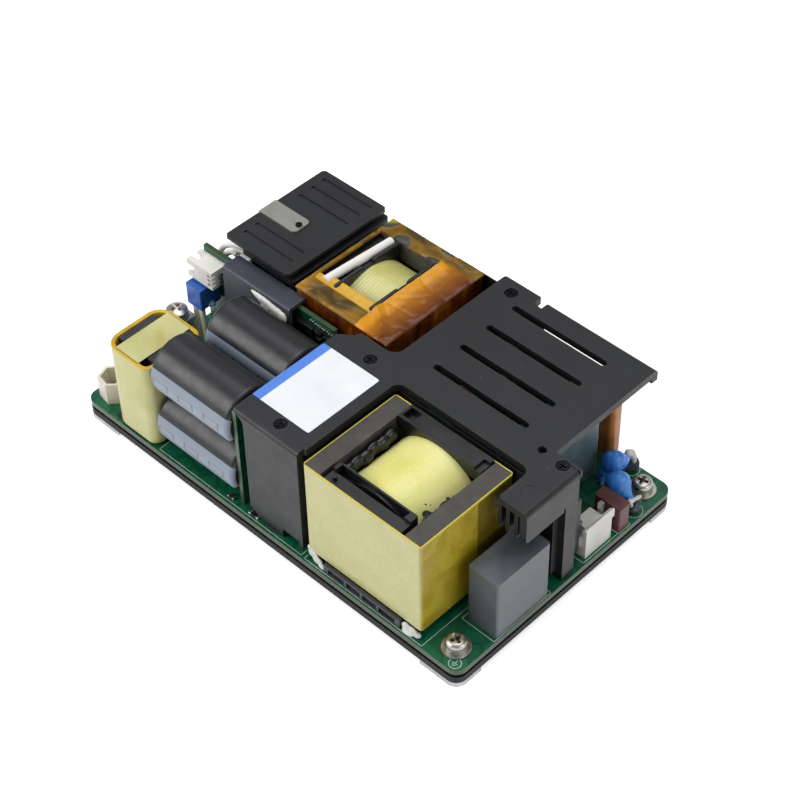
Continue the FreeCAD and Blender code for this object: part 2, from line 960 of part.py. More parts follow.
def front_blocks(core_depth, inner, outer, high, opening):
    """Ledge, pin and wire channel before the front winding, and a bar behind it."""
    wide = opening / 2 - notch_fit
    y0 = -core_depth + block_inset
    z0 = high - trough_depth
    z1 = high + front_proud
    ledge_y = y0 + ledge_depth
    channel_y = ledge_y + channel_width
    near = block_shift - wide
    far = wide - block_shift
    block = slab([
        (near, y0, 0.3), (far, y0, 0.3), (far, inner, 0.3), (near, inner, 1.2),
    ], z0, z1)
    ledge = box(near - 1, far + 1, y0 - 1, ledge_y, z1 - ledge_drop, z1 + 1)
    channel = box(near + trough_wall, far - channel_end, ledge_y - 0.1, channel_y,
                  z1 - channel_depth, z1 + 1)
    pin = rod(near + 2.1, y0 + 1.5, z1 - ledge_drop - 0.1, z1, 0.6)
    y1 = core_depth - block_inset
    rear_bar = box(-wide, wide, outer, y1, z0, z1)
    pocket = box(-wide + 0.7, -wide + rear_bar_pocket, outer + 0.9, y1 - 0.7, z1 - 1.6, z1 + 1)
    step = box(wide - 1.7, wide + 1, outer - 1, y1 - 1.4, z1 - 0.8, z1 + 1)
    return [block.cut([ledge, channel]), pin, rear_bar.cut([pocket, step])]


def rear_blocks(core_depth, inner, outer, high, opening):
    """Split walls at both ends of the rear winding, a block and a lead trough."""
    wide = opening / 2 - notch_fit
    y0 = -core_depth + block_inset
    y1 = core_depth - block_inset
    z0 = high - trough_depth
    z1 = high + rear_proud
    half = split_wall / 2
    trough_floor = high + sleeve_lift - sleeve_radius
    pieces = [
        box(-wide, wide, y0, inner - split_wall, z0, high - block_drop),
        box(-wide, wide, outer, y1, z0, trough_floor),
        box(-wide, wide, y1 - trough_wall, y1, z0, high - 0.2),
    ]
    for low, top in ((inner - split_wall, inner), (outer, outer + split_wall)):
        for side in (-1, 1):
            a, b = sorted((split_shift + side * split_gap / 2, side * wide))
            pieces.append(box(a, b, low, top, z0, z1 - half))
            pieces.append(bar((a + half, low + half, z1 - half), (1, 0, 0),
                              b - a - 2 * half, half))
            for end in (a + half, b - half):
                pieces.append(Part.makeSphere(half, V(end, low + half, z1 - half)))
    return pieces


def wound_part(name, cx, cy, turn, width, depth, top, back_wall, leg, opening, side,
               flanges, blocks):
    """Core halves, bobbin, winding and tape band, with the bobbin's axis along Y.

    The group is turned about Z and moved to (cx, cy) on the board.
    Returns the pins and the tape band.
    """
    core_width = width - 2 * tape_thickness
    core_depth = (depth - 2 * tape_thickness) / 2
    low = floor + tf_lift
    high = floor + top - 0.2
    height = high - low - 0.2
    axis = (high + low + 0.2) / 2
    half = core_half(core_width, core_depth, height, back_wall, leg, opening, side)
    other = half.copy()
    other.rotate(V(0, 0, 0), V(0, 0, 1), 180)
    halves = [half, other]
    for piece in halves:
        piece.translate(V(0, 0, axis))

    reach = core_depth - back_wall
    tube = leg + bobbin_fit + bobbin_wall
    radius = min(height / 2 - 0.1, core_width / 2 - side - bobbin_fit)
    inner = -reach + flanges[0]
    outer = reach - flanges[1]
    spool = [
        bar((0, -reach, axis), (0, 1, 0), 2 * reach, tube),
        bar((0, -reach, axis), (0, 1, 0), flanges[0], radius),
        bar((0, outer, axis), (0, 1, 0), flanges[1], radius),
    ]
    rail_half = opening / 2 - 1
    for sign in (-1, 1):
        # Base rail through the lower notch
        end = sign * (core_depth - 0.2)
        y_out = sign * reach
        y_in = sign * (reach - bobbin_wall / 2)
        y0, y1 = min(y_out, y_in), max(y_out, y_in)
        spool.append(box(-rail_half * 0.6, rail_half * 0.6, y0, y1, floor, axis - leg))
        rail0, rail1 = min(y_in, end), max(y_in, end)
        rail = box(-rail_half, rail_half, rail0, rail1, floor, low)
        pitch = 2 * rail_half / rail_windows
        for i in range(rail_windows):
            middle = -rail_half + (i + 0.5) * pitch
            face = end if sign < 0 else end - rail_window_depth
            rail = rail.cut(box(
                middle - rail_window_width / 2, middle + rail_window_width / 2,
                face, face + rail_window_depth, floor + 0.8, low - 0.7,
            ))
        spool.append(rail)
    spool += blocks(core_depth, inner, outer, high, opening)
    bore = bar((0, -reach - 1, axis), (0, 1, 0), 2 * reach + 2, leg + bobbin_fit)
    spool = join(spool).cut(bore)

    coil = bar((0, inner, axis), (0, 1, 0), outer - inner, radius - winding_clearance)
    coil = coil.cut(bar((0, inner - 1, axis), (0, 1, 0), outer - inner + 2, tube))

    band = rounded_box(-width / 2, width / 2, -depth / 2, depth / 2, low, high,
                       tape_corner_radius)
    inside = box(-core_width / 2, core_width / 2, -core_depth, core_depth, low - 1, high + 1)
    band = band.cut(inside)

    pins = []
    pitch = 2 * rail_half / pins_per_rail
    pin_y = (core_depth + reach) / 2
    for sign in (-1, 1):
        for i in range(pins_per_rail):
            pins.append((-rail_half + (i + 0.5) * pitch, sign * pin_y))
    radians = math.radians(turn)
    solids = []
    for u, v in pins:
        x = cx + u * math.cos(radians) - v * math.sin(radians)
        y = cy + u * math.sin(radians) + v * math.cos(radians)
        solids.append(square_pin(x, y, floor, pin_width))
    for shape in halves + [spool, coil, band]:
        shape.rotate(V(0, 0, 0), V(0, 0, 1), turn)
        shape.translate(V(cx, cy, 0))
    save(name + "_core", halves)
    save(name + "_bobbin", spool)
    save(name + "_winding", coil)
    return solids, band


def tape_cover():
    """Tape over the rear core's top, open above the winding and the lead trough."""
    x0 = rear_tf_x
    x1 = rear_tf_x + rear_tf_length
    y0 = rear_tf_y
    y1 = rear_tf_y + rear_tf_width
    z0 = floor + rear_tf_height - 0.2
    sheet = rounded_box(x0, x1, y0, y1, z0, z0 + cover_thickness, tape_corner_radius)
    side = (rear_tf_width - rear_tf_opening) / 2
    return sheet.cut(box(
        x0 + cover_left, x1 - cover_right, y0 + side, y1 - side, z0 - 1, z0 + 1,
    ))


def transformers():
    pins, band = wound_part(
        "front_transformer", front_tf_x + front_tf_length / 2,
        front_tf_y + front_tf_width / 2, 0, front_tf_length, front_tf_width,
        front_tf_height, front_tf_back, front_tf_leg, front_tf_opening, front_tf_side,
        front_flanges, front_blocks,
    )
    save("front_transformer_tape", band)
    component_leads.extend(pins)
    pins, band = wound_part(
        "rear_transformer", rear_tf_x + rear_tf_length / 2,
        rear_tf_y + rear_tf_width / 2, 90, rear_tf_width, rear_tf_length,
        rear_tf_height, rear_tf_back, rear_tf_leg, rear_tf_opening, rear_tf_side,
        rear_flanges, rear_blocks,
    )
    save("rear_transformer_tape", join([band, tape_cover()]))
    component_leads.extend(pins)


def lead_sleeve():
    """White sleeved lead, lying in the rear transformer's trough."""
    z = floor + rear_tf_height - 0.2 + sleeve_lift
    middle = V(rear_tf_x + sleeve_inset, rear_tf_y + rear_tf_width / 2, z)
    length = rear_tf_opening - 2 * sleeve_end_gap
    tube = bar((0, -length / 2, 0), (0, 1, 0), length, sleeve_radius)
    tube.rotate(V(0, 0, 0), V(0, 0, 1), -sleeve_turn)
    tube.translate(middle)
    save("lead_sleeve", tube)


def rear_sink_y():
    return rear_tf_y + rear_sink_front_gap, back - rear_sink_back_margin


def rear_heatsink():
    """Grooved upper plate on ribs, over a thin lower plate with two legs."""
    x0 = rear_sink_x
    x1 = x0 + rear_sink_length
    y0, y1 = rear_sink_y()
    z0 = sink_top - rear_sink_sheet
    plate = box(x0, x1, y0, y1, z0, sink_top)
    edges = [e for e in plate.Edges if e.BoundBox.ZLength > 0.5]
    plate = plate.makeChamfer(rear_sink_chamfer, edges)
    ribs = []
    for y in (y0 + rear_rib_inset, y1 - rear_rib_inset - rear_rib_width):
        ribs.append(box(x0 + 3, x1 - 3, y, y + rear_rib_width, z0 - rear_rib_height, z0))
    grooves = []
    for share in (0.125, 0.24, 0.673, 0.8, 0.916):
        y = y0 + share * (y1 - y0)
        gx = x0 + rear_groove_inset_x
        grooves.append(box(
            gx, gx + rear_groove_length, y - rear_groove_width / 2,
            y + rear_groove_width / 2, sink_top - rear_groove_depth, sink_top + 1,
        ))
    rx, ry = rivet_place()
    rivet_hole = rod(rx, ry, z0 - 1, sink_top + 1, rivet_radius)
    reach = strap_width / 2 + strap_fit
    notch = box(x0 - 1, x0 + strap_thickness + strap_fit, ry - reach, ry + reach, 0, sink_top + 1)
    save("rear_heatsink_top", join([plate] + ribs).cut(grooves + [rivet_hole, notch]))

    b1 = z0 - rear_rib_height
    b0 = b1 - rear_base_sheet
    bx0 = x0 + rear_base_inset
    by0 = y0 + rear_base_inset
    low_plate = box(bx0, x1 + rear_base_extra, by0, y1, b0, b1)
    corners = [e for e in low_plate.Edges if e.BoundBox.ZLength > 0.5]
    low_plate = low_plate.makeChamfer(rear_sink_chamfer, corners)
    low_plate = low_plate.cut(box(
        bx0 - 1, bx0 + rear_base_notch, by0 - 1, by0 + rear_base_notch, b0 - 1, b1 + 1,
    ))
    middle = (bx0 + x1) / 2
    half = rear_base_leg_width / 2
    leg = box(middle - half, middle + half, y1 - rear_base_sheet, y1, floor, b1)
    leg_tab = board_tab(middle - half + 2, middle + half - 2, y1 - rear_base_sheet, y1)
    side_y = by0 + 5
    side = box(bx0, bx0 + rear_base_sheet, side_y, side_y + 6, floor, b1)
    side_tab = board_tab(bx0, bx0 + rear_base_sheet, side_y + 1, side_y + 5)
    save("rear_heatsink_base", join([low_plate, leg, leg_tab, side, side_tab]))


def rivet_place():
    y0, y1 = rear_sink_y()
    x_end = rear_sink_x + strap_reach
    return x_end - rivet_inset, y1 - strap_inset_y


def ground_strap():
    """Strap on the rear heatsink, folded down in a notch of its left side to the board."""
    rx, ry = rivet_place()
    x_end = rear_sink_x + strap_reach
    x_out = rear_sink_x
    half = strap_width / 2
    z1 = sink_top + strap_thickness
    flat = slab([
        (x_out, ry - half, 0), (x_end, ry - half, strap_corner),
        (x_end, ry + half, strap_corner), (x_out, ry + half, 0),
    ], sink_top, z1)
    x_in = x_out + strap_thickness
    drop = box(x_out, x_in, ry - half, ry + half, floor, z1)
    tab = board_tab(x_out, x_in, ry - half + strap_corner, ry + half - strap_corner)
    z_low = sink_top - rear_sink_sheet
    hole = rod(rx, ry, sink_top - 1, z1 + 1, rivet_radius)
    save("ground_strap", join([flat, drop, tab]).cut(hole))
    shank = rod(rx, ry, z_low, z1, rivet_radius)
    head = rod(rx, ry, z1, z1 + rivet_head, rivet_radius * 1.25)
    save("strap_rivet", join([shank, head]))


def smoothing_capacitors():
    """Upright capacitors under the rear heatsink."""
    y0, y1 = rear_sink_y()
    cans = []
    leads = []
    room = y1 - y0 - 2 * smoothing_margin - (smoothing_rows - 1) * smoothing_gap
    diameter = room / smoothing_rows
    radius = diameter / 2
    for row in range(smoothing_rows):
        y = y0 + smoothing_margin + radius + row * (diameter + smoothing_gap)
        x0 = rear_sink_x + smoothing_inset_x + radius
        for x in (x0, x0 + diameter + smoothing_gap):
            can = rod(x, y, floor, floor + smoothing_height, radius)
            top = [e for e in can.Edges if e.BoundBox.ZMin > floor + 1]
            rim = [e for e in top if e.BoundBox.ZLength < 0.1][:1]
            cans.append(can.makeFillet(smoothing_edge, rim))
            for side in (-1, 1):
                leads.append(square_pin(
                    x + side * smoothing_pin_pitch / 2, y, floor, smoothing_pin_width
                ))
    save("smoothing_capacitors", cans)
    component_leads.extend(leads)


def folded_bracket():
    """Dark bracket: a flat top, a front wall and two legs."""
    x0 = left + bracket_inset
    x1 = x0 + bracket_length
    z1 = floor + bracket_height
    z0 = z1 - bracket_sheet
    y0 = bracket_y
    profile = wall_yz([
        (y0 + bracket_width, z1, 0), (y0, z1, bracket_sheet), (y0, floor, 0),
        (y0 + bracket_sheet, floor, 0), (y0 + bracket_sheet, z0, 0),
        (y0 + bracket_width, z0, 0),
    ], x0, x1)
    gap = box(
        x0 + bracket_leg_width, x1 - bracket_leg_width, y0 - 1,
        y0 + bracket_sheet + 1, floor - 1, floor + bracket_foot_gap,
    )
    tabs = [
        board_tab(x0 + 1, x0 + bracket_leg_width - 1, y0, y0 + bracket_sheet),
        board_tab(x1 - bracket_leg_width + 1, x1 - 1, y0, y0 + bracket_sheet),
    ]
    save("folded_bracket", join([profile.cut(gap)] + tabs))


def control_board():
    """Upright board with a row of pins, small parts and a side connector."""
    x0 = left + control_inset
    x1 = x0 + control_length
    top = floor + control_height
    y1 = control_y + control_thickness
    save("control_board", box(x0, x1, control_y, y1, floor, top))

    pins = []
    half = control_pin_width / 2
    for i in range(control_pins):
        x = x0 + 4 + i * (control_length - 8) / (control_pins - 1)
        pins.append(square_pin(x, control_y - half, floor + 2, control_pin_width))
    component_leads.extend(pins)

    # Small parts on the front face, right of the bracket, in rows
    chips = []
    start = left + bracket_inset + bracket_length + chip_inset
    for row in range(chip_rows):
        x = start
        z = top - chip_drop - row * chip_row_pitch
        for width, height in chip_sizes:
            if x + width > x1 - 0.5:
                break
            chips.append(box(x, x + width, control_y - chip_height, control_y, z - height, z))
            x += width + chip_gap
    save("control_board_chips", chips)
    signal_connector(top)


def signal_connector(board_top_z):
    """Cream side entry connector, open to the left, with flat contacts."""
    x0 = left + connector_inset
    x1 = x0 + connector_length
    y0 = control_y - connector_depth
    z1 = board_top_z - connector_drop
    z0 = z1 - connector_height
    wall = connector_wall
    body = box(x0, x1, y0, control_y, z0, z1)
    cavity = box(x0 - 1, x1 - 2.6, y0 + wall, control_y - wall, z0 + wall, z1 - wall)
    mouth = box(x0 - 1, x0 + 2.5, y0 + 1.5, control_y - 1.5, z1 - wall - 1, z1 + 1)
    notch = box(x0 - 1, x0 + 2.6, y0 - 1, y0 + wall + 1, z0 + 1.5, z1 - 1.7)
    slots = []
    contacts = []
    half = contact_width / 2
    pitch = (connector_height - 2 * wall) / connector_contacts
    y = y0 + connector_depth / 2
    for i in range(connector_contacts):
        z = z0 + wall + (i + 0.5) * pitch
        slots.append(box(x1 - 1.6, x1 + 1, y0 - 1, y0 + 1.2, z - half * 1.6, z + half * 1.6))
        hole = box(x1 - 3, x1 + 1, y - half, y + half, z - half, z + half)
        slots.append(hole)
        arm = box(x0 + 1.5, x1 + 0.6, y - half, y + half, z - half, z + half)
        foot = box(x1 + 0.1, x1 + 0.6, y - half, control_y, z - half, z + half)
        contacts.append(join([arm, foot]))
    save("signal_connector", body.cut([cavity, mouth, notch] + slots))
    save("signal_contacts", contacts)


def blue_capacitor():
    """Blue box capacitor, held above the board by two leaning sleeved legs."""
    x0 = left + blue_inset
    y1 = control_y - blue_gap
    z0 = floor + blue_lift
    save("blue_box_capacitor", rounded_box(
        x0, x0 + blue_length, y1 - blue_width, y1, z0, z0 + blue_height, 0.4,
    ))
    legs = []
    y = y1 - blue_width + blue_leg_back
    for i in (0, 1):
        x = x0 + (blue_length - blue_leg_pitch) / 2 + i * blue_leg_pitch
        knee = V(x + blue_leg_lean, y, floor + blue_leg_foot)
        foot = round_lead(knee.x, y, knee.z, blue_leg_radius)
        lean = V(x, y, z0) - knee
        upper = Part.makeCylinder(blue_leg_radius, lean.Length + 1, knee, lean)
        upper = upper.cut(box(x - 5, x + 5, y - 5, y + 5, z0, z0 + 5))
        legs.append(join([foot, upper, Part.makeSphere(blue_leg_radius, knee)]))
    save("sleeved_legs", legs)


def output_terminals():
    """Folded terminals with a tapped top, each with its washer head screw."""
    x = left + terminal_margin + terminal_length / 2
    arches = []
    screws = []
    rear_y = control_y + control_thickness + terminal_offset - terminal_rear_shift
    for y in (control_y - terminal_offset, rear_y):
        x0 = x - terminal_length / 2
        x1 = x + terminal_length / 2
        y0 = y - terminal_width / 2
        y1 = y + terminal_width / 2
        z1 = floor + terminal_height
        arch = wall_xz([
            (x0, floor, 0), (x0 + terminal_sheet, floor, 0),
            (x0 + terminal_sheet, z1 - terminal_sheet, 0.3),
            (x1 - terminal_sheet, z1 - terminal_sheet, 0.3),
            (x1 - terminal_sheet, floor, 0), (x1, floor, 0),
            (x1, z1, terminal_sheet), (x0, z1, terminal_sheet),
        ], y0, y1)
        tabs = [
            board_tab(x0, x0 + terminal_sheet, y0 + 1.5, y1 - 1.5),
            board_tab(x1 - terminal_sheet, x1, y0 + 1.5, y1 - 1.5),
        ]
        hole = rod(x, y, z1 - terminal_sheet - 1, z1 + 1, terminal_screw_radius)
        arches.append(join([arch] + tabs).cut(hole))
        z2 = z1 + terminal_washer_thickness
        z3 = z2 + terminal_spring_thickness
        washer = rod(x, y, z1, z2, terminal_washer_radius)
        spring = rod(x, y, z2, z3, terminal_spring_radius)
        head = pan_head(x, y, z3, terminal_head_radius, terminal_head_height, 1.9)
        shank = rod(x, y, z1 - terminal_screw_reach, z1, terminal_screw_radius)
        screws.append(join([washer, spring, head, shank]))
    save("output_terminals", arches)
    save("terminal_screws", screws)


def lying_capacitors():
    """Four cans in two layers, with their seals, leads and upright board."""
    radius = can_diameter / 2
    levels = [floor + can_lift + radius]
    levels.append(levels[0] + can_diameter + can_layer_gap)
    seals = []
    leads = []
    holes = []
    cans = []
    for y in can_row_y:
        for z in levels:
            can = bar((can_x, y, z), (1, 0, 0), can_length, radius)
            can = can.makeFillet(
                can_edge_radius, [e for e in can.Edges if e.BoundBox.XLength < 0.01]
            )
            seat = can_end_x - seal_recess
            room = bar((seat, y, z), (1, 0, 0), seal_recess + 1, radius - seal_rim)
            cans.append(can.cut(room))
            seal = bar((seat, y, z), (1, 0, 0), seal_recess - 0.2, radius - seal_rim)
            for side in (-1, 1):
                ly = y + side * can_lead_pitch / 2
                length = can_board_x + can_board_thickness + 0.5 - seat
                lead = bar((seat, ly, z), (1, 0, 0), length, can_lead_radius)
                leads.append(lead)
                seal = seal.cut(lead)
                holes.append(bar((seat, ly, z), (1, 0, 0), 9, can_lead_radius))
            seals.append(seal)
    save("lying_capacitors", cans)
    save("capacitor_seals", seals)
    component_leads.extend(leads)
    y0 = front + can_board_margin
    y1 = can_row_y[1] + radius - 0.2
    x0 = can_board_x
    x1 = x0 + can_board_thickness
    board = box(x0, x1, y0, y1, floor, floor + can_board_height)
    tabs = [
        board_tab(x0, x1, y0 + 3, y0 + 3 + can_board_tab),
        board_tab(x0, x1, y1 - 3 - can_board_tab, y1 - 3),
    ]
    save("capacitor_board", join([board] + tabs).cut(holes))


def choke():
    """Tall choke: core halves, bobbin, winding, a tape band and a top label."""
    x0 = choke_x + choke_core_inset
    x1 = choke_x + choke_length - choke_core_inset
    y0 = front + choke_margin + choke_ring_wall
    y1 = front + choke_margin + choke_width - choke_ring_wall
    middle_y = (y0 + y1) / 2
    half = choke_core_width / 2
    z0 = floor + choke_ring_lift + 0.4
    z1 = floor + choke_height - 0.2
    mid_x = (x0 + x1) / 2
    mid_z = (z0 + z1) / 2
    core = box(x0, x1, middle_y - half, middle_y + half, z0, z1)
    upper = mid_z + choke_middle_height / 2
    lower = mid_z - choke_middle_height / 2
    inner0 = x0 + choke_back
    inner1 = x1 - choke_back
    core = core.cut([
        box(inner0, inner1, y0 - 9, y1 + 9, z0 + choke_leg_height, lower),
        box(inner0, inner1, y0 - 9, y1 + 9, upper, z1 - choke_leg_height),
    ])
    left_half = core.common(box(x0 - 1, mid_x, y0 - 9, y1 + 9, z0 - 1, z1 + 1))
    right_half = core.common(box(mid_x, x1 + 1, y0 - 9, y1 + 9, z0 - 1, z1 + 1))
    save("choke_core", [left_half, right_half])

    fit = bobbin_fit
    low = z0 + choke_leg_height + fit
    high = z1 - choke_leg_height - fit
    tube0 = middle_y - half - fit - 0.6
    tube1 = middle_y + half + fit + 0.6
    a0 = inner0 + fit
    a1 = inner1 - fit
    tube = box(a0, a1, tube0, tube1, lower - fit - 0.6, upper + fit + 0.6)
    cheeks = [
        box(a0, a0 + choke_cheek, y0 + 0.2, y1 - 0.2, low, high),
        box(a1 - choke_cheek, a1, y0 + 0.2, y1 - 0.2, low, high),
    ]
    spool = join([tube] + cheeks)
    spool = spool.cut(box(a0 - 1, a1 + 1, middle_y - half - fit, middle_y + half + fit,
                          lower - fit, upper + fit))
    # Side posts carry the cap over the core's top leg, and the sole under it
    within = choke_band(choke_ring_wall)
    posts = []
    for y in (y0 + 0.2, y1 - 1.4):
        posts.append(box(a0, a1, y, y + 1.2, floor, z1))
    cap = box(a0, a1, y0 + 0.2, y1 - 0.2, z1, z1 + 0.2)
    beak = box(a1 - choke_cheek, x1 + choke_core_inset, middle_y + half + fit, y1 - 0.2,
               z1 - 4, z1)
    beak = join([beak, box(x1 + fit, x1 + choke_core_inset, middle_y - half, y1 - 0.2,
                           z1 - 4, z1)])
    foot_x = choke_x - choke_foot_length
    foot = box(foot_x, choke_x - 0.05, middle_y - 3, middle_y + 3, floor, floor + 8)
    sole = box(foot_x, a1, y0 + 0.2, y1 - 0.2, floor, floor + choke_ring_lift - 0.1)
    sole = sole.cut(box(foot_x - 1, choke_x, y0, middle_y - 3, floor - 1, floor + 2))
    sole = sole.cut(box(foot_x - 1, choke_x, middle_y + 3, y1, floor - 1, floor + 2))
    inner = join([spool, cap] + posts + [beak]).common(within)
    save("choke_bobbin", join([inner, sole, foot]))

    coil = box(a0 + choke_cheek, a1 - choke_cheek, y0 + 1.6, y1 - 1.6, low + 0.3, high - 0.3)
    coil = coil.cut(box(a0, a1, tube0, tube1, lower - fit - 0.6, upper + fit + 0.6))
    save("choke_winding", coil.common(within))

    top = floor + choke_height
    ring = choke_band(0.0).common(
        box(left, right, front, back, floor + choke_ring_lift, top)
    )
    save("choke_tape", ring.cut(within))
    label_y0 = middle_y - choke_label_width / 2
    save("choke_label", box(
        a0, a1, label_y0, label_y0 + choke_label_width, top, top + label_thickness,
    ))


def choke_band(inset):
    """Plan of the tape round the choke, narrower at the core's ends, raised past it."""
    x0 = choke_x + inset
    x1 = choke_x + choke_length - inset
    y0 = front + choke_margin + inset
    y1 = front + choke_margin + choke_width - inset
    return slab([
        (x0, y0 + 3.2, 2.5), (x0 + 3.6, y0, 3.0), (x1 - 3.2, y0, 2.0), (x1, y0 + 2.4, 2.0),
        (x1, y1 - 2.4, 2.0), (x1 - 3.2, y1, 2.0), (x0 + 3.6, y1, 3.0), (x0, y1 - 3.2, 2.5),
    ], floor - 1, floor + choke_height + 1)


def block_capacitor():
    y0 = block_front_y()
    y1 = y0 + block_width
    x1 = block_x + block_length
    save("block_capacitor", rounded_box(
        block_x, x1, y0, y1, floor, floor + block_height, block_corner_radius,
    ))
    middle = block_x + block_length / 2
    component_leads.extend([square_pin(middle, y, floor, 0.8) for y in (y0 + 1.5, y1 - 1.5)])


def line_capacitors():
    """Cream box capacitor and orange dipped capacitor, both on edge."""
    x1 = front_tf_x + front_tf_length - xcap_inset_x
    x0 = x1 - xcap_length
    y1 = back - xcap_gap_y
    y0 = y1 - xcap_width
    save("cream_box_capacitor", rounded_box(
        x0, x1, y0, y1, floor, floor + xcap_height, 0.6,
    ))
    middle = (x0 + x1) / 2
    leads = [square_pin(middle, y, floor, 0.8) for y in (y0 + 1.8, y1 - 1.8)]
    ox1 = front_tf_x + front_tf_length - orange_inset_x
    ox0 = ox1 - orange_length
    oy1 = back - orange_inset_y
    oy0 = oy1 - orange_width
    z0 = floor + orange_lift
    dipped = rounded_box(ox0, ox1, oy0, oy1, z0, z0 + orange_height, orange_width * 0.35)
    rims = [e for e in dipped.Edges if e.BoundBox.ZLength < 0.01]
    save("orange_dipped_capacitor", dipped.makeFillet(0.8, rims))
    y = (oy0 + oy1) / 2
    leads += [square_pin(x, y, z0, 0.7) for x in (ox0 + 2.2, ox1 - 2.2)]
    component_leads.extend(leads)


def disc_places():
    return [
        (right - disc_inset_x, back - disc_inset_y),
        (right - disc_inset_x + disc_step_x, back - disc_inset_y - disc_step_y),
    ]


def disc_capacitors():
    """Two thick discs on edge, facing the right front corner, on round leads."""
    discs = []
    for x, y in disc_places():
        z = floor + disc_height
        disc = bar((0, -disc_thickness / 2, 0), (0, 1, 0), disc_thickness, disc_radius)
        rims = [e for e in disc.Edges if e.BoundBox.YLength < 0.01]
        disc = disc.makeFillet(disc_thickness * 0.3, rims)
        disc.rotate(V(0, 0, 0), V(0, 0, 1), disc_turn)
        disc.translate(V(x, y, z))
        reach = disc_lead_pitch / 2
        leads = []
        for side in (-1, 1):
            lx = x + side * reach * math.cos(math.radians(disc_turn))
            ly = y + side * reach * math.sin(math.radians(disc_turn))
            leads.append(round_lead(lx, ly, z, disc_lead_radius))
        discs.append(join([disc] + leads))
    save("disc_capacitors", discs)


def fuse():
    x1 = right - fuse_inset_x
    x0 = x1 - fuse_length
    y1 = back - fuse_inset_y
    y0 = y1 - fuse_width
    save("fuse", rounded_box(x0, x1, y0, y1, floor, floor + fuse_height, 0.5))
    y = (y0 + y1) / 2
    component_leads.extend([square_pin(x, y, floor, 0.6) for x in (x0 + 1.4, x1 - 1.4)])


def header_rows():
    y1 = back - fuse_inset_y - fuse_width - header_gap_y
    return y1 - header_width, y1


def mains_connector():
    """Two pin header: a low base, a block between the pins and a tall locking wall."""
    x1 = right - header_inset_x
    x0 = x1 - header_length
    y0, y1 = header_rows()
    top = floor + header_height
    body = [
        box(x0, x1 - header_step, y0, y1, floor, floor + header_base),
        box(x1 - header_step, x1, y0, y0 + header_wall_width, floor, floor + header_base),
    ]
    profile = [
        (x1 - header_wall, floor, 0), (x1, floor, 0), (x1, top - 0.4, 0), (x1 - 0.3, top, 0),
        (x1 - header_wall - 0.5, top - 0.9, 0), (x1 - header_wall - 0.5, top - 1.5, 0),
        (x1 - header_wall, top - 2.0, 0),
    ]
    lock = wall_xz(profile, y0, y0 + header_lock_width).common(box(
        x0, x1, y0, y1, top - header_lock_height, top,
    ))
    body += [wall_xz(profile, y0, y0 + header_wall_width), lock]
    x = x1 - header_pin_inset
    pin_y1 = y1 - header_pin_back
    pin_y0 = pin_y1 - header_pin_pitch
    near = header_pin_width / 2 + header_block_gap
    body.append(box(x0, x1, pin_y0 + near, pin_y1 - near, floor, floor + header_block_height))
    pins = []
    for y in (pin_y0, pin_y1):
        pins.append(square_pin(x, y, floor + header_pin_height, header_pin_width))
    save("mains_connector", join(body).cut(pins))
    save("mains_connector_pins", pins)


def surge_absorber():
    """Round absorbers, one by the fuse and one by the back edge."""
    places = [
        (right - absorber_inset_x, back - absorber_inset_y),
        (right - absorber_rear_inset_x, back - absorber_rear_inset_y),
    ]
    save("surge_absorber", [
        rod(x, y, floor, floor + absorber_height, absorber_radius) for x, y in places
    ])


def line_choke():
    """Ring core on a base, with a winding over each side."""
    capacitor_x = front_tf_x + front_tf_length - xcap_inset_x - xcap_length
    x = capacitor_x - line_choke_gap - line_choke_outer - line_choke_wire
    y = back - line_choke_inset_y
    z0 = floor + line_choke_base + line_choke_wire + line_choke_fit
    z1 = z0 + line_choke_height
    ring = rod(x, y, z0, z1, line_choke_outer)
    ring = ring.cut(rod(x, y, z0 - 1, z1 + 1, line_choke_inner))
    save("line_choke_core", ring)
    outer = line_choke_outer + line_choke_wire
    inner = line_choke_inner - line_choke_wire
    grown = rod(x, y, z0 - line_choke_wire, z1 + line_choke_wire, outer)
    grown = grown.cut(rod(x, y, z0 - 9, z1 + 9, inner))
    shell = grown.cut(ring)
    windings = []
    for turn in (-line_choke_arc / 2, 180 - line_choke_arc / 2):
        wedge = Part.makeCylinder(
            outer + 1, 2 * line_choke_height, V(x, y, floor), V(0, 0, 1), line_choke_arc
        )
        wedge.rotate(V(x, y, 0), V(0, 0, 1), turn)
        windings.append(shell.common(wedge))
    save("line_choke_windings", windings)
    base = rounded_box(
        x - outer, x + outer, y - outer, y + outer, floor, floor + line_choke_base, 3.0,
    )
    save("line_choke_base", base)
    reach = outer - line_choke_leg_inset
    for sx in (-1, 1):
        for sy in (-1, 1):
            component_leads.append(square_pin(
                x + sx * reach, y + sy * reach, floor, line_choke_lead
            ))


def main():
    os.makedirs("parts", exist_ok=True)
    base_plate()
    base_feet()
    insulation_sheet()
    board_screws()
    hex_guard()
    main_heatsink()
    heatsink_screws()
    heatsink_posts()
    clamped_devices()
    fin_comb()
    rating_label()
    transformers()
    lead_sleeve()
    rear_heatsink()
    ground_strap()
    smoothing_capacitors()
    folded_bracket()
    control_board()
    blue_capacitor()
    output_terminals()
    lying_capacitors()
    choke()
    block_capacitor()
    line_capacitors()
    disc_capacitors()
    fuse()
    mains_connector()
    surge_absorber()
    line_choke()
    save("component_leads", component_leads)
    main_board()


main()
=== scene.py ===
import math

import bpy
from mathutils import Matrix, Vector


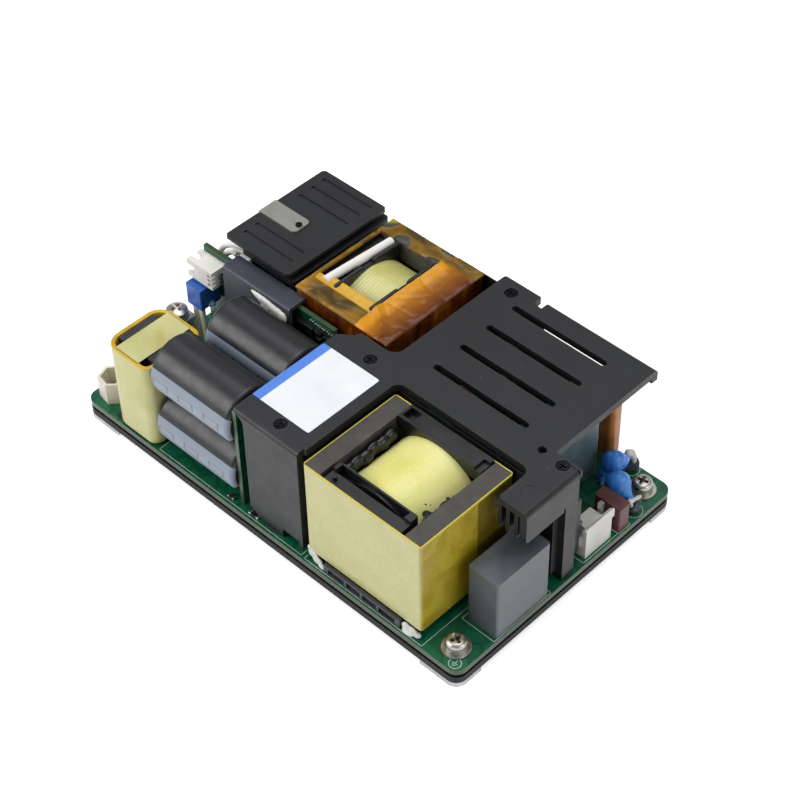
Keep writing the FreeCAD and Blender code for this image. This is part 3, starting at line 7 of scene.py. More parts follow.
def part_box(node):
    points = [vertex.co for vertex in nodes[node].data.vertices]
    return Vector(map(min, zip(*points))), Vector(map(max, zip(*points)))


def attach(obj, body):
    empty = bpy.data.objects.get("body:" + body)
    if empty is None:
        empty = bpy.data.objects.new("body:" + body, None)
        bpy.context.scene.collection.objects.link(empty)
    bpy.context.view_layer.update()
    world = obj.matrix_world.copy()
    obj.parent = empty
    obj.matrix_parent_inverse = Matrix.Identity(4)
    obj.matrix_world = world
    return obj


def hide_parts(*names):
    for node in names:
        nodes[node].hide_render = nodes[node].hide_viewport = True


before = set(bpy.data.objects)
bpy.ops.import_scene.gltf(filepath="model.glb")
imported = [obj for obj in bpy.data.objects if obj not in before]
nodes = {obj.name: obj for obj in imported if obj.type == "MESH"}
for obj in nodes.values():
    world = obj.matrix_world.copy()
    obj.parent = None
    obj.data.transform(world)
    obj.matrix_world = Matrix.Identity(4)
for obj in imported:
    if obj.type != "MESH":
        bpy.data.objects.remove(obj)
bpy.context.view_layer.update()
MM = 0.001


# Finishes. Socket numbers: Mix takes 0 amount, 6 and 7 colours and gives 2; Map Range takes
# 0 value, 1 and 2 from, 3 and 4 to; Math takes 0, 1 and 2 in the order of its formula

def linear(hex_value):
    """An sRGB colour such as 'c8c48a' as linear red, green, blue and 1."""
    parts = [int(hex_value[i:i + 2], 16) / 255 for i in (0, 2, 4)]
    return [c / 12.92 if c <= 0.04045 else ((c + 0.055) / 1.055) ** 2.4 for c in parts] + [1.0]


def per_metre(size_mm):
    """How many features of this size in millimetres fit in a metre."""
    return 1000.0 / size_mm


def new_finish(name):
    finish = bpy.data.materials.new(name)
    finish.use_nodes = True
    finish.node_tree.nodes.clear()
    return finish


def add(owner, kind, inputs=None, stops=None, **settings):
    """Adds a node to a material or world.

    An input is a plain value, a colour in hex, a socket that is linked into it, or a node
    whose first output is. A ramp's stops are pairs of place and colour or grey.
    """
    tree = owner.node_tree
    made = tree.nodes.new("ShaderNode" + kind)
    for key, value in settings.items():
        setattr(made, key, value)
    for key, value in (inputs or {}).items():
        if isinstance(value, bpy.types.Node):
            value = value.outputs[0]
        if isinstance(value, bpy.types.NodeSocket):
            tree.links.new(value, made.inputs[key])
        else:
            made.inputs[key].default_value = linear(value) if isinstance(value, str) else value
    if stops:
        ramp = made.color_ramp
        while len(ramp.elements) < len(stops):
            ramp.elements.new(0.5)
        for element, (place, shade) in zip(ramp.elements, stops):
            element.position = place
            element.color = linear(shade) if isinstance(shade, str) else (shade, shade, shade, 1)
    return made


def surfaced(f, colour, roughness, height, strength, depth_mm, others=None):
    """Ends a finish with one shader, whose relief comes from a height, and the output."""
    bump = add(f, "Bump", {"Height": height, "Strength": strength, "Distance": depth_mm * MM})
    shader = add(f, "BsdfPrincipled", {"Base Color": colour, "Roughness": roughness,
                                       "Normal": bump, **(others or {})})
    add(f, "OutputMaterial", {"Surface": shader})
    return f


def edge_highlight_mask(f, radius_mm):
    """1 along the sharp edges of a piece and 0 on its faces, for a painted highlight along edges.
    """
    turned = add(f, "Bevel", {"Radius": radius_mm * MM}, samples=4)
    flat = add(f, "NewGeometry").outputs["True Normal"]
    same = add(f, "VectorMath", {0: turned, 1: flat}, operation="DOT_PRODUCT")
    return add(f, "MapRange", {0: same.outputs["Value"], 1: 0.9, 2: 0.55, 3: 0.0, 4: 1.0})


def jittered(f, place, axis, size_mm, reach_mm):
    """One object coordinate, pushed about by noise, so that a border drawn on it is ragged."""
    along = add(f, "SeparateXYZ", {0: place}).outputs[axis]
    noise = add(f, "TexNoise", {"Vector": place, "Scale": per_metre(size_mm), "Detail": 4.0})
    centred = add(f, "Math", {0: noise, 1: 0.5}, operation="SUBTRACT")
    return add(f, "Math", {0: centred, 1: reach_mm * MM, 2: along}, operation="MULTIPLY_ADD")


def anodised(name, dark, light, edge, rough):
    """Dyed anodised aluminium sheet: matte, nearly black, with a fine etched grain.

    The eye gets a soft grey sheen, faint cloudy patches, rub marks, dust specks and a painted
    highlight along the edges. The true grain is under 0.1 mm and is drawn coarser so that it shows.
    """
    f = new_finish(name)
    place = add(f, "TexCoord").outputs["Object"]
    cloud = add(f, "TexNoise", {"Vector": place, "Scale": per_metre(14), "Detail": 4.0})
    tone = add(f, "ValToRGB", {"Fac": cloud}, [(0.3, dark), (0.75, light)])
    speck = add(f, "TexNoise", {"Vector": place, "Scale": per_metre(1.1), "Detail": 1.0})
    dust = add(f, "MapRange", {0: speck, 1: 0.74, 2: 0.8, 3: 0.0, 4: 0.45})
    # Dust specks, and the edge colour as a painted highlight along the edges
    dust_and_edge_highlight = add(f, "Math", {0: edge_highlight_mask(f, 0.25), 1: dust}, operation="MAXIMUM")
    grain = add(f, "TexNoise", {"Vector": place, "Scale": per_metre(0.35), "Detail": 2.0})
    rub = add(f, "TexNoise", {"Vector": place, "Scale": per_metre(5), "Detail": 6.0,
                              "Distortion": 0.6})
    gloss = add(f, "MapRange", {0: rub, 1: 0.3, 2: 0.8, 3: rough - 0.06, 4: rough + 0.06})
    colour = add(f, "Mix", {0: dust_and_edge_highlight, 6: tone, 7: edge}, data_type="RGBA").outputs[2]
    return surfaced(f, colour, gloss, grain, 0.12, 0.05, {"Metallic": 0.1, "IOR": 1.5})


def moulded(name, shade, paler, rough, grain_mm=0.6, strength=0.1):
    """Injection moulded plastic: even colour, a slight orange peel and softer gloss in patches."""
    f = new_finish(name)
    place = add(f, "TexCoord").outputs["Object"]
    cloud = add(f, "TexNoise", {"Vector": place, "Scale": per_metre(6), "Detail": 3.0})
    tone = add(f, "ValToRGB", {"Fac": cloud}, [(0.35, shade), (0.7, paler)])
    peel = add(f, "TexNoise", {"Vector": place, "Scale": per_metre(grain_mm), "Detail": 2.0})
    gloss = add(f, "MapRange", {0: cloud, 1: 0.3, 2: 0.7, 3: rough - 0.05, 4: rough + 0.08})
    return surfaced(f, tone, gloss, peel, strength, 0.08, {"IOR": 1.5})


def plated(name, shade, paler, rough, recess_grime_and_shade="5a4a3c", edge=None):
    """Plated steel or tinned brass: bright metal with fine drawing streaks and dull patches.

    Recesses turn brown grey, partly grime and partly painted shade, and edges get a painted
    glint where an edge colour is given.
    """
    f = new_finish(name)
    place = add(f, "TexCoord").outputs["Object"]
    cloud = add(f, "TexNoise", {"Vector": place, "Scale": per_metre(2.5), "Detail": 4.0})
    colour = add(f, "ValToRGB", {"Fac": cloud}, [(0.3, shade), (0.75, paler)])
    if edge:
        # The edge colour is a painted glint along the edges
        painted_edge_glint = edge_highlight_mask(f, 0.12)
        colour = add(f, "Mix", {0: painted_edge_glint, 6: colour, 7: edge}, data_type="RGBA").outputs[2]
    # Recesses, found by ambient occlusion, take the recess colour: partly grime, partly painted
    # shade
    shut = add(f, "AmbientOcclusion", {"Distance": 0.9 * MM}, samples=6, only_local=True)
    open_part = add(f, "MapRange", {0: shut.outputs["AO"], 1: 0.25, 2: 0.75, 3: 0.0, 4: 1.0})
    drawn = add(f, "Mapping", {"Vector": place, "Scale": (1.0, 1.0, 0.08)})
    streak = add(f, "TexNoise", {"Vector": drawn, "Scale": per_metre(0.25), "Detail": 2.0})
    gloss = add(f, "MapRange", {0: cloud, 1: 0.25, 2: 0.75, 3: rough - 0.08, 4: rough + 0.1})
    grime_and_painted_shade = add(f, "Mix", {0: open_part, 6: recess_grime_and_shade, 7: colour}, data_type="RGBA").outputs[2]
    return surfaced(f, grime_and_painted_shade, gloss, streak, 0.15, 0.03, {"Metallic": 1.0})


def powder_coated(name):
    """Black powder coated steel: a pebbled semi-gloss skin over a flat plate."""
    f = new_finish(name)
    place = add(f, "TexCoord").outputs["Object"]
    pebble = add(f, "TexNoise", {"Vector": place, "Scale": per_metre(0.7), "Detail": 3.0})
    tone = add(f, "ValToRGB", {"Fac": pebble}, [(0.3, "030304"), (0.8, "08080a")])
    return surfaced(f, tone, 0.55, pebble, 0.35, 0.1, {"IOR": 1.4})


def solder_mask(name, mask, trace, edge, across="Z"):
    """Green solder mask on glass fibre board: copper runs show faintly through the gloss.

    The cut edges, which don't face along the board's own axis, show the olive laminate.
    """
    f = new_finish(name)
    place = add(f, "TexCoord").outputs["Object"]
    cells = add(f, "TexVoronoi", {"Vector": place, "Scale": per_metre(5)},
                feature="DISTANCE_TO_EDGE")
    runs = add(f, "ValToRGB", {"Fac": cells}, [(0.05, 0.0), (0.11, 1.0)])
    facing = add(f, "SeparateXYZ", {0: add(f, "NewGeometry").outputs["Normal"]})
    flat = add(f, "Math", {0: facing.outputs[across]}, operation="ABSOLUTE")
    cut_edge = add(f, "Math", {0: flat, 1: 0.5}, operation="LESS_THAN")
    green = add(f, "Mix", {0: runs, 6: mask, 7: trace}, data_type="RGBA").outputs[2]
    colour = add(f, "Mix", {0: cut_edge, 6: green, 7: edge}, data_type="RGBA").outputs[2]
    weave = add(f, "TexNoise", {"Vector": place, "Scale": per_metre(0.5), "Detail": 2.0})
    height = add(f, "Math", {0: weave, 1: 0.25, 2: runs}, operation="MULTIPLY_ADD")
    cloud = add(f, "TexNoise", {"Vector": place, "Scale": per_metre(9), "Detail": 3.0})
    gloss = add(f, "MapRange", {0: cloud, 1: 0.3, 2: 0.7, 3: 0.22, 4: 0.34})
    return surfaced(f, colour, gloss, height, 0.2, 0.03, {"IOR": 1.5})


def polyester_tape(name, shade, paler, rim, rough=0.32, turn_axis=None, turn_mm=0.9, ridge=0.0):
    """Yellow polyester tape, several layers: pale and glossy, with wrinkles and lap lines.

    On a winding it follows the turns of wire under it, as low ridges round the coil.
    """
    f = new_finish(name)
    place = add(f, "TexCoord").outputs["Object"]
    cloud = add(f, "TexNoise", {"Vector": place, "Scale": per_metre(11), "Detail": 5.0,
                                "Distortion": 0.4})
    tone = add(f, "ValToRGB", {"Fac": cloud}, [(0.25, rim), (0.45, shade), (0.75, paler)])
    upright = add(f, "Mapping", {"Vector": place, "Scale": (1.0, 1.0, 0.25)})
    height = add(f, "TexNoise", {"Vector": upright, "Scale": per_metre(4), "Detail": 5.0,
                                 "Distortion": 0.8})
    if turn_axis:
        along = jittered(f, place, turn_axis, 6, 0.5)
        phase = add(f, "Math", {0: along, 1: 2 * math.pi * per_metre(turn_mm)},
                    operation="MULTIPLY")
        wave = add(f, "Math", {0: phase}, operation="SINE")
        height = add(f, "Math", {0: wave, 1: ridge, 2: height}, operation="MULTIPLY_ADD")
    gloss = add(f, "MapRange", {0: cloud, 1: 0.3, 2: 0.7, 3: rough - 0.06, 4: rough + 0.1})
    return surfaced(f, tone, gloss, height, 0.35, 0.4,
                    {"IOR": 1.57, "Subsurface Weight": 0.08, "Subsurface Scale": 0.6 * MM})


def core_wrap(name):
    """Several laps of yellow polyester tape round a ferrite core.

    Straw coloured in front, deeper amber on the right side, where more laps lie over each
    other and end in an upright edge, darker still behind that edge, with slanting wrinkles and
    a brass coloured rim. The right side's amber and the darker part behind the lap end are
    partly painted shade: that side faces away from the light and lies under the heatsink.
    """
    lap_end, rim_height = 18.2 * MM, 0.8 * MM
    low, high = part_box("front_transformer_tape")
    f = new_finish(name)
    place = add(f, "TexCoord").outputs["Object"]
    split = add(f, "SeparateXYZ", {0: place})
    cloud = add(f, "TexNoise", {"Vector": place, "Scale": per_metre(9), "Detail": 5.0,
                                "Distortion": 0.5})
    straw = add(f, "ValToRGB", {"Fac": cloud}, [(0.3, "c2bd7c"), (0.7, "cdc98e")])
    amber = add(f, "ValToRGB", {"Fac": cloud}, [(0.3, "a08614"), (0.7, "cbb83e")])
    deep_laps_and_shade = add(f, "ValToRGB", {"Fac": cloud}, [(0.3, "6b5710"), (0.7, "8f7d22")])
    lap = add(f, "Math", {0: split.outputs["Y"], 1: low.y + lap_end}, operation="GREATER_THAN")
    facing = add(f, "SeparateXYZ", {0: add(f, "NewGeometry").outputs["Normal"]})
    # The right side is amber partly for the extra laps and partly as painted shade, facing away
    # from the light; behind the lap end it is darker, partly painted shade under the heatsink
    right_side_laps_and_shade = add(f, "MapRange", {0: facing.outputs["X"], 1: 0.2, 2: 0.9},
                     interpolation_type="SMOOTHSTEP")
    side = add(f, "Mix", {0: lap, 6: amber, 7: deep_laps_and_shade}, data_type="RGBA").outputs[2]
    body = add(f, "Mix", {0: right_side_laps_and_shade, 6: straw, 7: side}, data_type="RGBA").outputs[2]
    rim = add(f, "MapRange", {0: split.outputs["Z"], 1: high.z - rim_height,
                              2: high.z - rim_height / 4}, interpolation_type="SMOOTHSTEP")
    slant = add(f, "Mapping", {"Vector": place, "Rotation": (math.radians(38), 0, 0),
                               "Scale": (1.0, 0.22, 1.0)})
    wrinkle = add(f, "TexNoise", {"Vector": slant, "Scale": per_metre(3), "Detail": 3.0,
                                  "Distortion": 0.4})
    height = add(f, "Math", {0: lap, 1: 0.6, 2: wrinkle}, operation="MULTIPLY_ADD")
    gloss = add(f, "MapRange", {0: cloud, 1: 0.3, 2: 0.7, 3: 0.2, 4: 0.34})
    colour = add(f, "Mix", {0: rim, 6: body, 7: "cdbd3e"}, data_type="RGBA").outputs[2]
    return surfaced(f, colour, gloss, height, 0.3, 0.4,
                    {"IOR": 1.57, "Subsurface Weight": 0.06, "Subsurface Scale": 0.6 * MM})


def polyimide_tape(name):
    """Amber polyimide tape in loose layers over a dark core: honey, olive and red brown.

    Bright honey over the coil's right wall, darkening towards the right edge, where the
    darkness is painted shade of the trough under the film; red brown, darker as painted
    shade, where it folds down the upright sides; olive over the ferrite in front and behind,
    with slate patches, all sharply creased.
    """
    wall_start, wall_edge = 19.5 * MM, 20.3 * MM
    patch_start, patch_end = 26.5 * MM, 28.0 * MM
    wall_back_start, wall_back_end = 29.0 * MM, 32.0 * MM
    brass_start, brass_end = 3.2 * MM, 1.4 * MM
    low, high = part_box("rear_transformer_tape")
    f = new_finish(name)
    place = add(f, "TexCoord").outputs["Object"]
    x = jittered(f, place, "X", 7, 3.0)
    y = jittered(f, place, "Y", 7, 2.5)
    cloud = add(f, "TexNoise", {"Vector": place, "Scale": per_metre(10), "Detail": 5.0,
                                "Distortion": 0.8})
    olive = add(f, "ValToRGB", {"Fac": cloud},
                [(0.35, "4a3a16"), (0.5, "7d5c14"), (0.68, "ad7f18")])
    fine = add(f, "TexNoise", {"Vector": place, "Scale": per_metre(3), "Detail": 4.0,
                               "Distortion": 0.3})
    slate = add(f, "ValToRGB", {"Fac": fine}, [(0.3, "2f333a"), (0.7, "4d5147")])
    patchy = add(f, "MapRange", {0: cloud, 1: 0.53, 2: 0.56}, interpolation_type="SMOOTHSTEP")
    at_back = add(f, "MapRange", {0: y, 1: low.y + patch_start, 2: low.y + patch_end},
                  interpolation_type="SMOOTHSTEP")
    patches = add(f, "Math", {0: patchy, 1: at_back}, operation="MULTIPLY")
    # Across the top the honey darkens towards the right edge: painted shade of the trough under the
    # film
    across = add(f, "MapRange", {0: x, 1: low.x + wall_start, 2: high.x})
    honey_into_trough_shade = add(f, "ValToRGB", {"Fac": across},
                [(0.0, "d8950c"), (0.28, "d68f0e"), (0.42, "a66602"), (0.7, "824602"),
                 (1.0, "522402")])
    behind = add(f, "MapRange", {0: y, 1: low.y + wall_back_start, 2: low.y + wall_back_end},
                 interpolation_type="SMOOTHSTEP")
    in_front = add(f, "Math", {0: 1.0, 1: behind}, operation="SUBTRACT")
    right_part = add(f, "MapRange", {0: x, 1: low.x + wall_start, 2: low.x + wall_edge},
                     interpolation_type="SMOOTHSTEP")
    honeyed = add(f, "Math", {0: right_part, 1: in_front}, operation="MULTIPLY")
    ferrite_side = add(f, "Mix", {0: patches, 6: olive, 7: slate}, data_type="RGBA").outputs[2]
    top = add(f, "Mix", {0: honeyed, 6: ferrite_side, 7: honey_into_trough_shade}, data_type="RGBA").outputs[2]
    upright = add(f, "Mapping", {"Vector": place, "Scale": (1.0, 1.0, 0.3)})
    streak = add(f, "TexNoise", {"Vector": upright, "Scale": per_metre(5), "Detail": 4.0,
                                 "Distortion": 0.5})
    # Upright faces are darker red brown than the top: painted shade
    painted_shade_sides = add(f, "ValToRGB", {"Fac": streak},
                [(0.3, "3a1806"), (0.5, "6a2f08"), (0.7, "9a5a12")])
    facing = add(f, "SeparateXYZ", {0: add(f, "NewGeometry").outputs["Normal"]})
    upward = add(f, "MapRange", {0: facing.outputs["Z"], 1: 0.3, 2: 0.8},
                 interpolation_type="SMOOTHSTEP")
    body = add(f, "Mix", {0: upward, 6: painted_shade_sides, 7: top}, data_type="RGBA").outputs[2]
    to_corner = add(f, "Math", {0: y, 1: x}, operation="SUBTRACT")
    corner = high.y - low.x
    brass = add(f, "MapRange", {0: to_corner, 1: corner - brass_start, 2: corner - brass_end},
                interpolation_type="SMOOTHSTEP")
    crease = add(f, "TexVoronoi", {"Vector": place, "Scale": per_metre(8), "Randomness": 1.0},
                 feature="DISTANCE_TO_EDGE")
    sharp = add(f, "Math", {0: crease, 1: 0.12}, operation="MINIMUM")
    fold = add(f, "Math", {0: sharp, 1: 3.0, 2: cloud}, operation="MULTIPLY_ADD")
    colour = add(f, "Mix", {0: brass, 6: body, 7: "a8961e"}, data_type="RGBA").outputs[2]
    return surfaced(f, colour, 0.26, fold, 0.5, 0.7,
                    {"IOR": 1.4, "Coat Weight": 0.06, "Coat Roughness": 0.06})


def ferrite(name, shade, paler):
    """Ground manganese zinc ferrite: matte grey brown ceramic with pits and grinding marks."""
    f = new_finish(name)
    place = add(f, "TexCoord").outputs["Object"]
    cloud = add(f, "TexNoise", {"Vector": place, "Scale": per_metre(3), "Detail": 6.0})
    tone = add(f, "ValToRGB", {"Fac": cloud}, [(0.3, shade), (0.75, paler)])
    grit = add(f, "TexNoise", {"Vector": place, "Scale": per_metre(0.4), "Detail": 3.0})
    return surfaced(f, tone, 0.62, grit, 0.3, 0.08, {"IOR": 1.55})


def sleeve_print(name):
    """Shrunk black grey sleeve on the lying cans, with the grey blue polarity stripe.

    The stripe faces the front, a little below the middle, with thin outlined marks along
    it. Each can's own axis is found by wrapping Y and Z by the pitch of the cans.
    """
    can_radius, pitches = 8.0 * MM, (("Y", 17.5 * MM), ("Z", 16.1 * MM))
    stripe_half_angle, stripe_shift = 0.46, 0.02
    mark_pitch, mark_middle = 8.8 * MM, 2.6 * MM
    along_scale, round_scale = 385.0, 7.7
    low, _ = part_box("lying_capacitors")
    f = new_finish(name)
    place = add(f, "TexCoord").outputs["Object"]
    split = add(f, "SeparateXYZ", {0: place})
    from_axis = []
    for axis, pitch in pitches:
        middle = getattr(low, axis.lower()) + can_radius
        near = add(f, "Math", {0: split.outputs[axis], 1: middle + pitch / 2,
                               2: middle - pitch / 2}, operation="WRAP")
        from_axis.append(add(f, "Math", {0: near, 1: middle}, operation="SUBTRACT"))
    forward = add(f, "Math", {0: from_axis[0], 1: -1.0}, operation="MULTIPLY")
    angle = add(f, "Math", {0: from_axis[1], 1: forward}, operation="ARCTAN2")
    off = add(f, "Math", {0: angle, 1: stripe_shift}, operation="ADD")
    away = add(f, "Math", {0: off}, operation="ABSOLUTE")
    stripe = add(f, "Math", {0: away, 1: stripe_half_angle}, operation="LESS_THAN")
    along = add(f, "Math", {0: split.outputs["X"], 1: mark_pitch, 2: 0.0}, operation="WRAP")
    from_middle = add(f, "Math", {0: along, 1: mark_middle}, operation="SUBTRACT")
    length = add(f, "Math", {0: from_middle}, operation="ABSOLUTE")
    sized = add(f, "Math", {0: length, 1: along_scale}, operation="MULTIPLY")
    width = add(f, "Math", {0: away, 1: round_scale}, operation="MULTIPLY")
    larger = add(f, "Math", {0: sized, 1: width}, operation="MAXIMUM")
    outline = add(f, "Math", {0: larger, 1: 0.93, 2: 0.07}, operation="COMPARE")
    sleeve = add(f, "Mix", {0: stripe, 6: "1d1e22", 7: "8b96a6"}, data_type="RGBA").outputs[2]
    colour = add(f, "Mix", {0: outline, 6: sleeve, 7: "4a515c"}, data_type="RGBA").outputs[2]
    skin = add(f, "TexNoise", {"Vector": place, "Scale": per_metre(2), "Detail": 4.0})
    gloss = add(f, "MapRange", {0: skin, 1: 0.3, 2: 0.7, 3: 0.3, 4: 0.42})
    return surfaced(f, colour, gloss, skin, 0.15, 0.1, {"IOR": 1.53})


def label_film(name):
    """White polyester label with a blue band at its left end, left bare."""
    band_width = 2.6 * MM
    low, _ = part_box("blank_label")
    f = new_finish(name)
    place = add(f, "TexCoord").outputs["Object"]
    split = add(f, "SeparateXYZ", {0: place})
    band = add(f, "Math", {0: split.outputs["X"], 1: low.x + band_width}, operation="LESS_THAN")
    cloud = add(f, "TexNoise", {"Vector": place, "Scale": per_metre(8), "Detail": 2.0})
    paper = add(f, "ValToRGB", {"Fac": cloud}, [(0.3, "e6e9ee"), (0.8, "f3f5f8")])
    colour = add(f, "Mix", {0: band, 6: paper, 7: "4f84e0"}, data_type="RGBA").outputs[2]
    shader = add(f, "BsdfPrincipled", {"Base Color": colour, "Roughness": 0.38, "IOR": 1.5})
    add(f, "OutputMaterial", {"Surface": shader})
    return f


def enamelled_wire(name):
    """Turns of enamelled copper round a ring core: red brown, glossy, ridged across the ring,
    with painted shade in the grooves between turns.
    """
    low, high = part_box("line_choke_windings")
    f = new_finish(name)
    place = add(f, "TexCoord").outputs["Object"]
    centred = add(f, "Mapping", {"Vector": place, "Location": -(low + high) / 2})
    split = add(f, "SeparateXYZ", {0: centred})
    angle = add(f, "Math", {0: split.outputs["Y"], 1: split.outputs["X"]}, operation="ARCTAN2")
    turns = add(f, "Math", {0: angle, 1: 46.0}, operation="MULTIPLY")
    ridge = add(f, "Math", {0: turns}, operation="SINE")
    # The grooves between turns are dark as painted shade, the crests lighter
    tone = add(f, "ValToRGB", {"Fac": ridge}, [(0.0, "2f0f05"), (0.6, "8a3f16")])
    return surfaced(f, tone, 0.3, ridge, 0.8, 0.5, {"Metallic": 0.4, "Coat Weight": 0.5})


# The anodised sheets' edge colour is a painted highlight along their edges
sink_black = anodised("black_anodised_sheet", "17181b", "1e2024", "4a4c52", 0.46)
zinc = plated("bright_zinc_steel", "aeaaa1", "d0cdc5", 0.32, recess_grime_and_shade="6e675e")
tin = plated("tinned_metal", "b9bbbd", "dcdedf", 0.34)
# On the black screws the recess colour is painted shade and the edge colour a painted glint round
# the heads
black_oxide = plated("black_oxide_screw", "17181a", "2a2b2e", 0.35, recess_grime_and_shade="08080a", edge="8d8f92")
solder = plated("solder", "a9abab", "c9cbcb", 0.35)
black_bobbin = moulded("black_phenolic", "101114", "1b1c20", 0.3)
black_resin = moulded("black_epoxy_resin", "141416", "202124", 0.45)
nylon_white = moulded("white_nylon", "dedcd4", "eceae4", 0.42)
sleeve_white = moulded("white_sleeving", "ebe8e2", "f5f3ef", 0.5)
blue_dip = moulded("blue_epoxy_dip", "2c7cda", "559ce8", 0.26, strength=0.3, grain_mm=1.6)
absorber_slate = moulded("slate_epoxy", "343a47", "4a5163", 0.35)
silicone_white = moulded("white_silicone", "d4d3cd", "e6e5e0", 0.45, strength=0.4, grain_mm=1.5)
black_glue = moulded("black_potting_resin", "0b0b0d", "16161a", 0.22, strength=0.5, grain_mm=1.8)
film_black = moulded("black_insulating_film", "060607", "0b0b0c", 0.6)
board_ink = moulded("white_board_ink", "b9c9bf", "cfd9d2", 0.5)
drip_blue = moulded("blue_resin_drip", "6ea2e2", "8fbcf0", 0.25)
rail_grey = moulded("grey_phenolic", "2e2f35", "3c3d45", 0.4)
choke_wrap = polyester_tape("choke_wrap", "c6c283", "d4d09a", "b3a64a")
amber_edge = polyester_tape("amber_tape_edge", "c9a41c", "dab72e", "ab861a", 0.3)
flap_tape = polyester_tape("amber_flap", "cc9a06", "dcaa10", "9c7008", 0.24)
amber_tape = polyimide_tape("amber_tape")
grey_ferrite = ferrite("ground_ferrite", "3d3936", "4d4945")
copper_turns = enamelled_wire("enamelled_copper")

nodes_with = (
    (powder_coated("black_powder_coat"), "base_plate"),
    (plated("milled_aluminium", "a9abae", "c9cbce", 0.42), "base_feet"),
    (moulded("insulation_film", "2b2a24", "38362c", 0.25), "insulation_sheet"),
    (solder_mask("green_solder_mask", "0c5239", "106244", "33482a"), "main_board"),
    (solder_mask("control_green_mask", "0b4530", "10553b", "33482a", "Y"), "control_board"),
    (solder_mask("riser_green_mask", "0b4530", "10553b", "33482a", "X"), "capacitor_board"),
    (zinc, "board_screws flat_washers spring_washers heatsink_posts device_clips terminal_screws"),
    (moulded("guard_nylon", "d9cfbe", "ece6dc", 0.45), "hex_guard"),
    (sink_black, "main_heatsink fin_comb comb_stud rear_heatsink_top rear_heatsink_base"),
    # The bracket's edge colour is a painted highlight along its edges
    (anodised("grey_anodised_sheet", "2e323b", "3a3f4a", "737b88", 0.4), "folded_bracket"),
    (black_oxide, "heatsink_screws strap_rivet"),
    (plated("bead_blasted_strap", "9c9c97", "aaaaa5", 0.55), "ground_strap"),
    (tin, "signal_contacts output_terminals mains_connector_pins component_leads"),
    (black_resin, "power_transistor bridge_rectifier control_board_chips"),
    (label_film("bare_label_film"), "blank_label"),
    (grey_ferrite, "front_transformer_core rear_transformer_core"),
    (black_bobbin, "front_transformer_bobbin rear_transformer_bobbin choke_bobbin line_choke_base"),
    (polyester_tape("front_coil_tape", "e4e084", "ece9a2", "d6cf62", 0.25, "Y", 1.3, 0.025),
     "front_transformer_winding"),
    (polyester_tape("rear_coil_tape", "cfcc84", "dbd89c", "bfb968", 0.3, "X", 0.95, 0.35),
     "rear_transformer_winding"),
    (core_wrap("core_tape"), "front_transformer_tape"),
    (amber_tape, "rear_transformer_tape"),
    (sleeve_white, "lead_sleeve sleeved_legs"),
    (sleeve_print("can_sleeve"), "lying_capacitors"),
    (moulded("black_can_sleeve", "1c1d20", "2a2b2f", 0.35), "smoothing_capacitors"),
    (moulded("seal_rubber", "0e0e0f", "1a1a1b", 0.7), "capacitor_seals"),
    (nylon_white, "signal_connector mains_connector"),
    (moulded("blue_polyester_box", "2756b0", "3a70c6", 0.3), "blue_box_capacitor"),
    (ferrite("dark_ferrite", "222224", "34343a"), "choke_core"),
    (choke_wrap, "choke_tape choke_label"),
    (copper_turns, "choke_winding line_choke_windings"),
    (moulded("grey_epoxy_box", "53585f", "5f656d", 0.33), "block_capacitor"),
    (moulded("blue_grey_box", "4b5a63", "586972", 0.35), "cream_box_capacitor"),
    (moulded("orange_epoxy_dip", "b06a34", "c88650", 0.28, strength=0.3, grain_mm=2.0),
     "orange_dipped_capacitor"),
    (blue_dip, "disc_capacitors"),
    (moulded("fuse_case_brown", "532c2b", "6d4240", 0.4), "fuse"),
    (absorber_slate, "surge_absorber"),
    (moulded("green_core_paint", "1d4a36", "2a5d45", 0.4), "line_choke_core"),
)
for finish, node_names in nodes_with:
    for node_name in node_names.split():
        mesh = nodes[node_name].data
        mesh.materials.clear()
        mesh.materials.append(finish)


# Modelling helpers: places and sizes are in millimetres, angles in degrees

BOARD_TOP = 5.9
SINK_UNDERSIDE = 37.35
FILM_THICKNESS = 0.08


def only(piece):
    """Selects this piece alone and makes it the active one."""
    bpy.ops.object.select_all(action="DESELECT")
    piece.select_set(True)
    bpy.context.view_layer.objects.active = piece


def begin(kind, name, middle, stretch, turns=(), **options):
    """Adds a primitive with nothing else selected, sized and turned in edit mode."""
    bpy.ops.object.select_all(action="DESELECT")
    place = [v * MM for v in middle]
    getattr(bpy.ops.mesh, "primitive_" + kind + "_add")(location=place, **options)
    piece = bpy.context.active_object
    piece.name = name
    bpy.ops.object.transform_apply(location=True, rotation=True, scale=True)
    bpy.ops.object.mode_set(mode="EDIT")
    bpy.ops.mesh.select_all(action="SELECT")
    bpy.ops.transform.resize(value=stretch, center_override=place)
    for axis, degrees in turns:
        bpy.ops.transform.rotate(value=-math.radians(degrees), orient_axis=axis,
                                 center_override=place)
    bpy.ops.object.mode_set(mode="OBJECT")
    return piece


def slab(name, low, high):
    """A cube primitive stretched between two corners, to be shaped further."""
    middle = [(a + b) / 2 for a, b in zip(low, high)]
    return begin("cube", name, middle, [b - a for a, b in zip(low, high)], size=MM)


